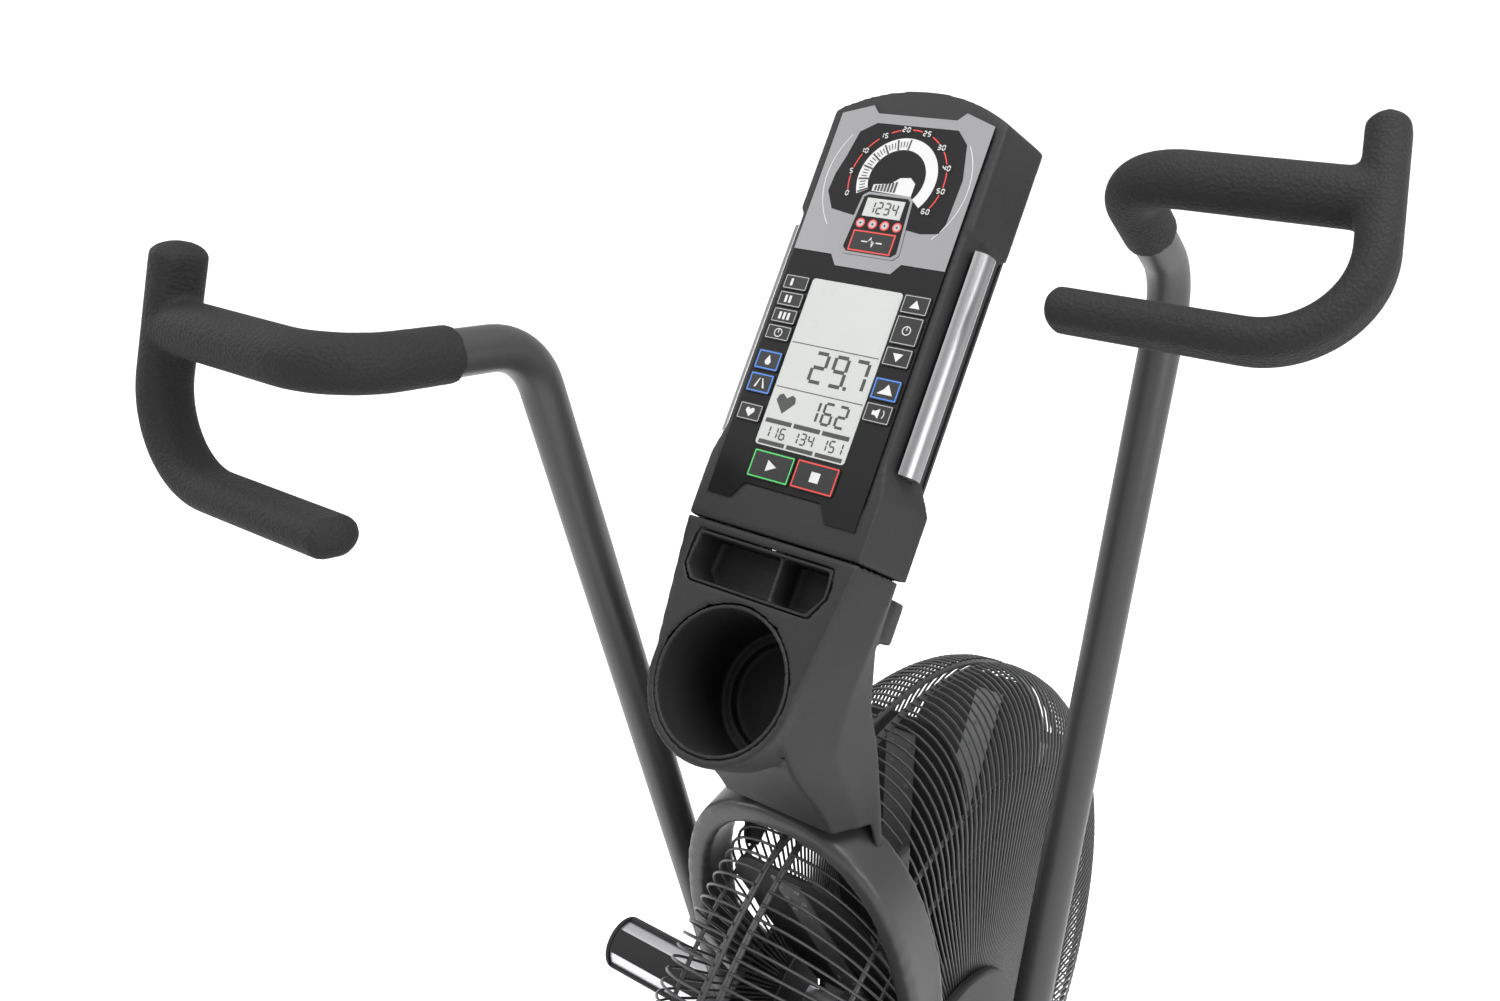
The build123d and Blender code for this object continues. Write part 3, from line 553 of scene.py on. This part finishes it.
print("wire has", len(wire_points(1)), "points")

# %% [markdown]
# ## The cage's node tree
# The tree sweeps the wire into a rod, lays copies on a row of points that all sit on the axle, and
# turns each by its share of a circle. The rings are circles swept the same way. Its inputs are the
# sizes that a reader may want to change.

# %% A tree that repeats it round the axle
# Each ring: how far out from the fan's middle, its radius, and the radius of its wire.
RINGS = ((0.0072, 0.3825, 0.0030), (0.0725, 0.303, 0.0022), (0.0755, 0.254, 0.0022),
         (0.083, 0.094, 0.0022))
CAGE_INPUTS = (("Geometry", "NodeSocketGeometry"), ("Count", "NodeSocketInt"),
               ("Wire radius", "NodeSocketFloat"), ("Centre", "NodeSocketVector"),
               ("Side", "NodeSocketFloat"), ("Finish", "NodeSocketMaterial"))


def cage_tree():
    """The node tree that turns one wire into half a cage."""
    tree = bpy.data.node_groups.new("cage wires", "GeometryNodeTree")
    for label, kind in CAGE_INPUTS:
        tree.interface.new_socket(label, in_out="INPUT", socket_type=kind)
    tree.interface.new_socket("Geometry", in_out="OUTPUT", socket_type="NodeSocketGeometry")

    def feed(socket, value):
        if isinstance(value, bpy.types.NodeSocket):
            tree.links.new(value, socket)
        else:
            socket.default_value = value

    def add(kind, **inputs):
        """The first output of a new node, whose sockets are named with _ for each space."""
        made = tree.nodes.new("GeometryNode" + kind)
        for key, value in inputs.items():
            feed(made.inputs[key.replace("_", " ")], value)
        return made.outputs[0]

    def maths(operation, first, second):
        made = tree.nodes.new("ShaderNodeMath")
        made.operation = operation
        feed(made.inputs[0], first)
        feed(made.inputs[1], second)
        return made.outputs[0]

    def along_x(value):
        made = tree.nodes.new("ShaderNodeCombineXYZ")
        feed(made.inputs["X"], value)
        return made.outputs[0]

    given = tree.nodes.new("NodeGroupInput").outputs
    section = add("CurvePrimitiveCircle", Resolution=6, Radius=given["Wire radius"])
    wire = add("MeshToCurve", Mesh=given["Geometry"])
    rod = add("CurveToMesh", Curve=wire, Profile_Curve=section)
    spots = add("MeshLine", Count=given["Count"], Offset=(0, 0, 0))
    step = maths("DIVIDE", 2 * math.pi, given["Count"])
    turn = maths("MULTIPLY", add("InputIndex"), step)
    parts = [add("InstanceOnPoints", Points=spots, Instance=rod, Rotation=along_x(turn))]
    for across, reach, thick in RINGS:
        ring = add("CurvePrimitiveCircle", Resolution=128, Radius=reach)
        bar = add("CurvePrimitiveCircle", Resolution=8, Radius=thick)
        tube = add("CurveToMesh", Curve=ring, Profile_Curve=bar)
        shift = maths("MULTIPLY", across, given["Side"])
        parts.append(add("Transform", Geometry=tube, Translation=along_x(shift),
                         Rotation=(0, math.pi / 2, 0)))
    joined = tree.nodes.new("GeometryNodeJoinGeometry")
    for part in reversed(parts):
        feed(joined.inputs[0], part)
    placed = add("Transform", Geometry=joined.outputs[0], Translation=given["Centre"])
    real = add("RealizeInstances", Geometry=placed)
    rounded = add("SetShadeSmooth", Geometry=real)
    dressed = add("SetMaterial", Geometry=rounded, Material=given["Finish"])
    feed(tree.nodes.new("NodeGroupOutput").inputs[0], dressed)
    return tree


cage_wires = cage_tree()
print("cage tree has", len(cage_wires.nodes), "nodes")

# %% [markdown]
# ## Two halves
# The cage is made as two halves that meet at the rim. Both use the same tree, and only the side
# differs. Each result becomes a plain mesh, because instances are lost when a model is exported.

# %% Make both halves
WIRES = 216
WIRE_RADIUS = 0.00125

for side_name, side in (("right", 1), ("left", -1)):
    half = linked("cage_" + side_name, wire_mesh("cage_" + side_name, side))
    repeat = half.modifiers.new("round the axle", "NODES")
    repeat.node_group = cage_wires
    wanted = {"Count": WIRES, "Wire radius": WIRE_RADIUS, "Centre": (0, FAN_Y, FAN_Z),
              "Side": float(side), "Finish": wire_paint}
    for item in cage_wires.interface.items_tree:
        if item.name in wanted:
            repeat[item.identifier] = wanted[item.name]
    whole = finished_mesh(half)
    half.modifiers.clear()
    half.data = whole
    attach(half, "frame")
    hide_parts("fan_cage_" + side_name)
    print(half.name, len(whole.polygons), "faces")

# %% [markdown]
# ## Printed marks
# The console's prints are ink, thinner than paper. An image would do for a picture, but it would
# carry no shape, so each mark is a flat tile a tenth of a millimetre thick, with an edge of its own.

# %% Inks


def ink(name, colour, rough=0.4):
    """Ink that is a little patchy, as a screen print is."""
    finish = Finish(name)
    patch = finish.noise(60.0)
    darker = tuple(part * 0.9 for part in colour)
    finish.set(Base_Color=finish.between(patch, darker, colour), Roughness=rough + 0.05 * patch)
    return finish.material


white_ink = ink("white_ink", (0.48, 0.48, 0.48))
grey_ink = ink("grey_ink", (0.32, 0.32, 0.33))
red_ink = ink("red_ink", (0.62, 0.03, 0.02))
blue_ink = ink("blue_ink", (0.03, 0.16, 0.55))
green_ink = ink("green_ink", (0.04, 0.45, 0.08))
segment_ink = ink("segment_ink", (0.02, 0.022, 0.02), 0.3)
print("inks ready")

# %% [markdown]
# ## A sheet of tiles
# A print is drawn on the console's grid with a few simple marks, and gathered into one mesh. A
# level says how far its underside stands out from the face, so that one print can lie on another.

# %% Tiles, lines and arcs
INK_DEPTH = 0.1
ARC_STEP = 6


class Print:
    """A set of flat tiles on the console, gathered into one piece."""

    def __init__(self, name, level, material):
        self.name, self.level, self.material = name, level, material
        self.mesh = bmesh.new()

    def shape(self, points):
        """A filled outline, given anticlockwise as seen from the rider."""
        low = [self.mesh.verts.new(on_console(u, v, self.level)) for u, v in points]
        high = [self.mesh.verts.new(on_console(u, v, self.level + INK_DEPTH)) for u, v in points]
        self.mesh.faces.new(high)
        self.mesh.faces.new(low[::-1])
        for i, corner in enumerate(low):
            j = (i + 1) % len(low)
            self.mesh.faces.new((corner, low[j], high[j], high[i]))

    def tile(self, u, v, width, height):
        """A filled rectangle with its middle at (u, v)."""
        w, h = width / 2, height / 2
        self.shape([(u - w, v - h), (u + w, v - h), (u + w, v + h), (u - w, v + h)])

    def outline(self, u, v, width, height, line):
        """Four thin tiles round a rectangle."""
        for sign in (-1, 1):
            self.tile(u, v + sign * (height - line) / 2, width, line)
            self.tile(u + sign * (width - line) / 2, v, line, height - 2 * line)

    def arc(self, u, v, r, start, end, line):
        """A bent line from start to end, in degrees, whose outer edge has the radius r."""
        count = max(4, int(abs(end - start) / ARC_STEP))
        turns = [math.radians(start + (end - start) * i / count) for i in range(count + 1)]
        for a, b in zip(turns, turns[1:]):
            self.shape([(u + (r - line) * math.cos(a), v + (r - line) * math.sin(a)),
                        (u + r * math.cos(a), v + r * math.sin(a)),
                        (u + r * math.cos(b), v + r * math.sin(b)),
                        (u + (r - line) * math.cos(b), v + (r - line) * math.sin(b))])

    def spoke(self, u, v, near, far, angle, line):
        """A straight line that points away from (u, v), from near to far."""
        a = math.radians(angle)
        along, side = Vector((math.cos(a), math.sin(a))), Vector((-math.sin(a), math.cos(a)))
        corners = (along * near - side * line / 2, along * far - side * line / 2,
                   along * far + side * line / 2, along * near + side * line / 2)
        self.shape([(u + c.x, v + c.y) for c in corners])

    def place(self, body):
        """Ends the print, and lets it ride on a body."""
        bmesh.ops.recalc_face_normals(self.mesh, faces=self.mesh.faces)
        mesh = bpy.data.meshes.new(self.name)
        self.mesh.to_mesh(mesh)
        self.mesh.free()
        mesh.materials.append(self.material)
        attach(linked(self.name, mesh), body)


def patch_of(name, level, material, points):
    """One filled outline, printed on the fixed part of the console."""
    sheet = Print(name, level, material)
    sheet.shape(points)
    sheet.place("frame")


print("a print can draw tiles, outlines, arcs and spokes")

# %% [markdown]
# ## Numbers
# The display shows numbers made of seven bars each. Drawing them from bars gives the look of the
# real display, and needs no font. One table says which bars light up, and one says where each is.

# %% Seven bars make a number
BARS = {"0": "abcdef", "1": "bc", "2": "abged", "3": "abgcd", "4": "fgbc", "5": "afgcd",
        "6": "afgedc", "7": "abc", "8": "abcdefg", "9": "abcdfg"}
BAR_PLACES = {"a": (0, 1, 1), "d": (0, -1, 1), "g": (0, 0, 1), "b": (1, 0.5, 0),
              "c": (1, -0.5, 0), "f": (-1, 0.5, 0), "e": (-1, -0.5, 0)}
DIGIT_STEP = 1.28
POINT_BACK = 0.12
FLAT_TRIM, TALL_TRIM = 1.6, 1.2


def number(sheet, text, u, v, width, height, line):
    """Writes digits from the left, each width wide and height high, with its middle at v."""
    for sign in text:
        if sign == ".":
            sheet.tile(u - width * POINT_BACK, v - height / 2 + line / 2, line, line)
            continue
        for bar in BARS[sign]:
            across, up, flat = BAR_PLACES[bar]
            w, h = line, height / 2 - TALL_TRIM * line
            if flat:
                w, h = width - FLAT_TRIM * line, line
            middle = u + width / 2 + across * (width - line) / 2
            sheet.tile(middle, v + up * (height - line) / 2, w, h)
        u += width * DIGIT_STEP


print("digits known", len(BARS))

# %% [markdown]
# ## Display
# The display has one large number, one middle number and three small ones under headings. Headings
# are plain dark bars here, because this model carries no words.

# %% The display
# Levels are in millimetres out from the console's face.
ON_GLASS = 1.42
DISPLAY_NUMBERS = (("29.7", -14.0, 63.0, 13.0, 24.0, 2.6), ("162", -4.0, 32.0, 9.0, 17.0, 1.9),
                   ("116", -33.0, 10.6, 5.0, 9.0, 1.1), ("134", -9.0, 10.6, 5.0, 9.0, 1.1),
                   ("151", 15.0, 10.6, 5.0, 9.0, 1.1))
HEART = [(-24, 25), (-16, 34), (-17, 38), (-20, 39.5), (-24, 36.5), (-28, 39.5), (-31, 38), (-32, 34)]

digits = Print("display_digits", ON_GLASS, segment_ink)
for row in DISPLAY_NUMBERS:
    number(digits, *row)
digits.place("frame")
rules = Print("display_rules", ON_GLASS, segment_ink)
for up in (78.0, 44.0):
    rules.tile(0, up, 72.0, 0.6)
for across in (-24.0, 0.0, 24.0):
    rules.tile(across, 18.5, 22.0, 3.2)
    rules.tile(across, 2.6, 22.0, 3.0)
rules.place("frame")
patch_of("display_heart", ON_GLASS, segment_ink, HEART)
print("display drawn")

# %% [markdown]
# ## Dial
# The bright plate carries a dark dial with a pale scale, tick marks and small figures round it.
# Each print stands a little above the one under it, so that no two faces share a plane and
# flicker.

# %% The dial's face and scale
PLATE = 1.85
DIAL_U, DIAL_V = 1.0, 209.0
DIAL_FACE = [(-43, 181), (-30, 179), (34, 171), (48, 173), (51, 181), (52, 214), (46, 240), (36, 250),
             (-30, 250), (-42, 242), (-46, 222), (-50, 208), (-51, 194)]
SWELL = [(-15.5, 198), (17, 197), (17, 207), (12, 211), (4, 210), (-2, 205), (-15.5, 203)]
TICKS, TICK_START, TICK_STEP = 25, 205, 4.9

patch_of("dial_face", PLATE, panel_black, DIAL_FACE)
halo = Print("dial_halo", PLATE, white_ink)
halo.arc(DIAL_U, DIAL_V - 2, 58.0, -42, 34, 0.6)
halo.arc(DIAL_U, DIAL_V - 2, 58.0, 146, 222, 0.6)
halo.place("frame")
gauge = Print("dial_gauge", PLATE + 0.12, white_ink)
gauge.arc(DIAL_U, DIAL_V, 31.5, -38, 207, 9.0)
gauge.place("frame")
ticks = Print("dial_ticks", PLATE + 0.26, segment_ink)
for mark in range(TICKS):
    near, far, line = (21.5, 30.5, 1.3) if mark % 4 == 0 else (24.5, 29.0, 0.7)
    ticks.spoke(DIAL_U, DIAL_V, near, far, TICK_START - TICK_STEP * mark, line)
for bar in range(7):
    ticks.tile(-13.0 + 2.6 * bar, 200.5 + 0.35 * bar, 1.7, 4.0 + 0.7 * bar)
ticks.place("frame")
patch_of("dial_swell", PLATE + 0.12, white_ink, SWELL)
scale_line = Print("dial_scale_line", PLATE + 0.12, red_ink)
scale_line.arc(DIAL_U, DIAL_V, 38.5, -38, 205, 0.8)
scale_line.place("frame")
print("dial has", TICKS, "ticks")

# %% [markdown]
# ## Figures round the dial
# The figures sit in gaps of the red line, spaced evenly by angle. A small dark tile under each
# figure cuts the line, which is simpler than drawing the line in pieces.

# %% The dial's figures
FIGURES = (0, 5, 10, 15, 20, 25, 30, 40, 50, 60)
FIGURE_START, FIGURE_SWEEP, FIGURE_REACH = 203, 237, 38.2

figures = Print("dial_scale", PLATE + 0.4, white_ink)
gaps = Print("dial_scale_gaps", PLATE + 0.24, panel_black)
for place, value in enumerate(FIGURES):
    turn = math.radians(FIGURE_START - FIGURE_SWEEP * place / (len(FIGURES) - 1))
    text = str(value)
    u = DIAL_U + FIGURE_REACH * math.cos(turn)
    v = DIAL_V + FIGURE_REACH * math.sin(turn)
    gaps.tile(u, v, 4.6 * len(text), 5.6)
    number(figures, text, u - 1.8 * len(text), v, 2.8, 4.2, 0.75)
figures.place("frame")
gaps.place("frame")
print("dial has", len(FIGURES), "figures")

# %% [markdown]
# ## Readout and lamps
# Below the dial is a narrow window with a silver rim. It holds a small display and a row of four
# red lamps, and each lamp is a ring round a grey bulb.

# %% The dial's window
WINDOW_RIM = [(-21, 149), (20, 149), (24, 153), (20, 194), (17, 197), (-17, 197), (-21, 194), (-25, 153)]
WINDOW = [(-19, 151), (18, 151), (21.5, 154), (18.3, 193), (16, 195), (-16, 195), (-19.3, 193),
          (-22.5, 154)]
LAMP_ROW, LAMP_UP = (-15, -5, 5, 15), 173.0
READOUT_UP = 185.5

patch_of("dial_window_rim", PLATE + 0.3, silver_plate, WINDOW_RIM)
patch_of("dial_window", PLATE + 0.45, panel_black, WINDOW)
small = Print("dial_readout", PLATE + 0.6, display_pale)
small.tile(-0.5, READOUT_UP, 31.0, 14.0)
small.place("frame")
readout = Print("dial_digits", PLATE + 0.74, segment_ink)
number(readout, "1234", -12.5, READOUT_UP, 4.9, 9.5, 1.1)
readout.place("frame")
lamps = Print("dial_lamps", PLATE + 0.6, red_ink)
bulbs = Print("dial_bulbs", PLATE + 0.6, grey_ink)
for across in LAMP_ROW:
    lamps.arc(across, LAMP_UP, 3.6, 0, 360, 0.9)
    bulbs.arc(across, LAMP_UP, 2.6, 0, 360, 1.8)
lamps.place("frame")
bulbs.place("frame")
print("window has", len(LAMP_ROW), "lamps")

# %% [markdown]
# ## Signs for the keys
# The real keys carry words and signs. Here each has one plain sign that says what it does. Most
# are filled outlines, measured in millimetres from the middle of the key.

# %% Plain signs
SIGNS = {
    "drop": [[(-2.6, -1), (-1.4, -3.4), (1.4, -3.4), (2.6, -1), (0, 4)]],
    "road": [[(-4.5, -3.5), (-2.9, -3.5), (-0.7, 3.5), (-1.5, 3.5)],
             [(2.9, -3.5), (4.5, -3.5), (1.5, 3.5), (0.7, 3.5)]],
    "heart": [[(0, -3.6), (3.8, 0.6), (3.2, 2.8), (1.6, 3.2), (0, 1.8), (-1.6, 3.2), (-3.2, 2.8),
               (-3.8, 0.6)]],
    "up": [[(-4, -2.6), (4, -2.6), (0, 3.4)]],
    "down": [[(-4, 2.6), (0, -3.4), (4, 2.6)]],
    "hill": [[(-6, -3.6), (6, -3.6), (1, 4), (-1.6, 0)]],
    "sound": [[(-4.4, -1.5), (-2, -1.5), (1, -3.6), (1, 3.6), (-2, 1.5), (-4.4, 1.5)]],
    "play": [[(-3.6, -4.2), (4.6, 0), (-3.6, 4.2)]],
    "wave": [[(-3.5, 0), (-1.2, 4), (0.8, -4), (2.4, 0), (0.9, -2), (-1.1, 2)]],
}
BAR_PITCH = 3.6
THIN = 0.7


def draw_sign(sheet, name, u, v):
    """One sign with its middle at (u, v)."""
    for points in SIGNS.get(name, []):
        sheet.shape([(u + across, v + up) for across, up in points])
    if name.startswith("bars"):
        for bar in range(int(name[-1])):
            sheet.tile(u + (bar - 1) * BAR_PITCH, v, 2.0, 5.5)
    elif name in ("clock", "ring"):
        sheet.arc(u, v, 3.4, 0, 360, THIN)
        sheet.spoke(u, v, 0, 2.4, 90, THIN)
    elif name == "sound":
        sheet.arc(u + 1, v, 4.2, -45, 45, THIN)
    elif name == "square":
        sheet.tile(u, v, 7.4, 7.4)
    elif name == "wave":
        for across in (-6, 6):
            sheet.tile(u + across, v, 5, 0.9)


print("outlined signs", len(SIGNS))

# %% [markdown]
# ## Keys
# Each key has a printed border and its sign. Both ride on the key's own body, so that the ink
# goes down with the key when it is pressed.

# %% Print the keys
LEFT_KEYS, RIGHT_KEYS = -49.6, 49.8
KEYS = {
    "key_interval_1": (LEFT_KEYS, 121.0, 20.6, 11.4, grey_ink, "bars1"),
    "key_interval_2": (LEFT_KEYS, 108.0, 20.6, 11.4, grey_ink, "bars2"),
    "key_interval_3": (LEFT_KEYS, 95.0, 20.6, 11.4, grey_ink, "bars3"),
    "key_time": (LEFT_KEYS, 82.0, 20.6, 11.4, grey_ink, "clock"),
    "key_energy": (LEFT_KEYS, 60.5, 20.6, 15.0, blue_ink, "drop"),
    "key_distance": (LEFT_KEYS, 43.0, 20.6, 15.0, blue_ink, "road"),
    "key_heart": (LEFT_KEYS, 20.8, 20.0, 13.0, grey_ink, "heart"),
    "key_up": (RIGHT_KEYS, 120.0, 21.0, 14.0, grey_ink, "up"),
    "key_enter": (RIGHT_KEYS, 101.0, 21.0, 21.0, grey_ink, "ring"),
    "key_down": (RIGHT_KEYS, 81.5, 21.0, 14.0, grey_ink, "down"),
    "key_work": (RIGHT_KEYS, 57.8, 21.0, 16.0, blue_ink, "hill"),
    "key_sound": (RIGHT_KEYS, 40.5, 21.0, 14.0, grey_ink, "sound"),
    "key_start": (-16.9, -13.8, 35.0, 21.0, green_ink, "play"),
    "key_stop": (19.9, -13.4, 35.0, 21.0, red_ink, "square"),
    "key_rate": (-0.6, 159.5, 36.0, 17.0, red_ink, "wave"),
}
ON_KEY = 2.62
KEY_INSET = 1.4
FINE_LINE, BOLD_LINE = 0.5, 0.9

for key_name, (across, up, width, height, colour, sign_name) in KEYS.items():
    line = FINE_LINE if colour is grey_ink else BOLD_LINE
    border = Print(key_name + "_ink", ON_KEY, colour)
    border.outline(across, up, width - KEY_INSET, height - KEY_INSET, line)
    border.place(key_name)
    sign = Print(key_name + "_sign", ON_KEY, white_ink)
    draw_sign(sign, sign_name, across, up)
    sign.place(key_name)
print("keys printed", len(KEYS))

# %% [markdown]
# ## Saddle
# The saddle is foam under stretched vinyl. Sculpting would do, but air does it by itself: a skin a
# little inside the CAD block is cloth with pressure in it, which crowns the top and pulls the sides
# in. Each point is held within a short distance of its start, within the block's sides and above
# its base.

# %% Swell the saddle
SHRINK = (0.94, 0.96, 0.80)
AIR = 4.0
AIR_STEPS = 20
SADDLE_LIFT = 0.0005
SADDLE_PASSES = 8


def inflate(piece, rise):
    """Swells a skin with air, and holds each point within rise of its start."""
    start = [point.co.copy() for point in piece.data.vertices]
    cloth = piece.modifiers.new("air", "CLOTH")
    cloth.settings.use_pressure = True
    cloth.settings.uniform_pressure_force = AIR
    cloth.settings.effector_weights.gravity = 0.0
    for step in range(1, AIR_STEPS + 1):
        bpy.context.scene.frame_set(step)
    swollen = finished_mesh(piece)
    piece.modifiers.clear()
    piece.data = swollen
    for point, rest in zip(swollen.vertices, start):
        moved = point.co - rest
        if moved.length > rise:
            point.co = rest + moved * (rise / moved.length)
    bpy.context.scene.frame_set(1)


def swelled(node, voxel, rise):
    """A soft cover that grows from the inside of a CAD block."""
    low, high = (Vector(corner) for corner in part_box(node))
    middle = (low + high) / 2
    piece = linked(node + "_cover", nodes[node].data.copy())
    shell = merged(piece.data)
    for point in shell.verts:
        away = point.co - middle
        point.co = middle + Vector([part * keep for part, keep in zip(away, SHRINK)])
    shell.to_mesh(piece.data)
    shell.free()
    even_skin(piece, voxel, SADDLE_PASSES)
    inflate(piece, rise)
    for point in piece.data.vertices:
        point.co.x = min(max(point.co.x, low.x), high.x)
        point.co.y = min(max(point.co.y, low.y), high.y)
        point.co.z = max(point.co.z, low.z + SADDLE_LIFT)
    for face in piece.data.polygons:
        face.use_smooth = True
    piece.data.materials.clear()
    piece.data.materials.append(vinyl)
    top = max(point.co.z for point in piece.data.vertices)
    print(piece.name, len(piece.data.polygons), "faces, top", round(top, 3))
    return piece


cover = swelled("saddle_cushion", 0.004, 0.008)
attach(cover, "saddle")
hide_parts("saddle_cushion")

# %% [markdown]
# ## Light and floor
# Dark paint is mostly reflections, so it is lit by large soft lamps and a wide sun, with a pale
# room all round. Small lamps would leave hard white dots on the tubes. The floor glows a little, so
# that it stays white under the machine's shadow.

# %% Studio
LAMPS = (("lamp_above", (0.9, 0.2, 3.2), (0, 0.2, 0.9), 1.6, 60),
         ("lamp_right", (2.6, -0.6, 1.9), (0, 0.1, 0.9), 1.4, 34),
         ("lamp_left", (-2.4, -0.9, 2.4), (0, 0.1, 0.9), 1.2, 30))
SUN_WIDTH = math.radians(50)
SUN_LEAN = (math.radians(24), math.radians(-20), 0)
FLOOR_REACH = 90
FLOOR_GLOW = 0.40
ROOM_LIGHT = 0.66


def soft_lamp(name, place, aim, size, power):
    """A square lamp at a place, turned to face its aim."""
    data = bpy.data.lights.new(name, "AREA")
    data.shape, data.size, data.energy = "SQUARE", size, power
    lamp = linked(name, data)
    lamp.location = place
    lamp.rotation_euler = (Vector(aim) - Vector(place)).to_track_quat("-Z", "Y").to_euler()


for lamp in LAMPS:
    soft_lamp(*lamp)
sun_data = bpy.data.lights.new("sun", "SUN")
sun_data.energy, sun_data.angle = 1.0, SUN_WIDTH
sun = linked("sun", sun_data)
sun.rotation_euler = SUN_LEAN

floor_mesh = bpy.data.meshes.new("floor")
corners = [(x * FLOOR_REACH, y * FLOOR_REACH, 0) for x, y in ((-1, -1), (1, -1), (1, 1), (-1, 1))]
floor_mesh.from_pydata(corners, [], [(0, 1, 2, 3)])
floor = linked("floor", floor_mesh)
floor_finish = Finish("floor")
shade = floor_finish.noise(2.0)
floor_finish.set(Base_Color=floor_finish.between(shade, (0.88, 0.88, 0.88), (0.92, 0.92, 0.92)),
                 Roughness=0.8, Emission_Color=(1, 1, 1, 1), Emission_Strength=FLOOR_GLOW)
floor.data.materials.append(floor_finish.material)

world = bpy.data.worlds.new("studio")
bpy.context.scene.world = world
world.use_nodes = True
background = world.node_tree.nodes["Background"].inputs
background["Color"].default_value = (1, 1, 1, 1)
background["Strength"].default_value = ROOM_LIGHT
bpy.context.scene.view_settings.view_transform = "Standard"
print("studio lit with", len(LAMPS), "lamps and a sun")

# %% [markdown]
# ## Camera
# The view is from behind the rider's right shoulder, looking down at the console. A long lens
# would flatten the arms, so this one is a little wider than the eye, and it stands close.

# %% Camera
CAMERA_PLACE = (0.4914, -0.6327, 1.4545)
LOOK_DOWN, LOOK_LEFT = math.radians(23.36), math.radians(36.29)

lens = bpy.data.cameras.new("camera")
lens.lens, lens.sensor_width, lens.sensor_fit = 32.38, 36.0, "HORIZONTAL"
camera = linked("camera", lens)
camera.location = CAMERA_PLACE
camera.rotation_euler = (math.pi / 2 - LOOK_DOWN, 0, LOOK_LEFT)
bpy.context.scene.camera = camera
print("camera placed")

# %% Finish
print("scene built")
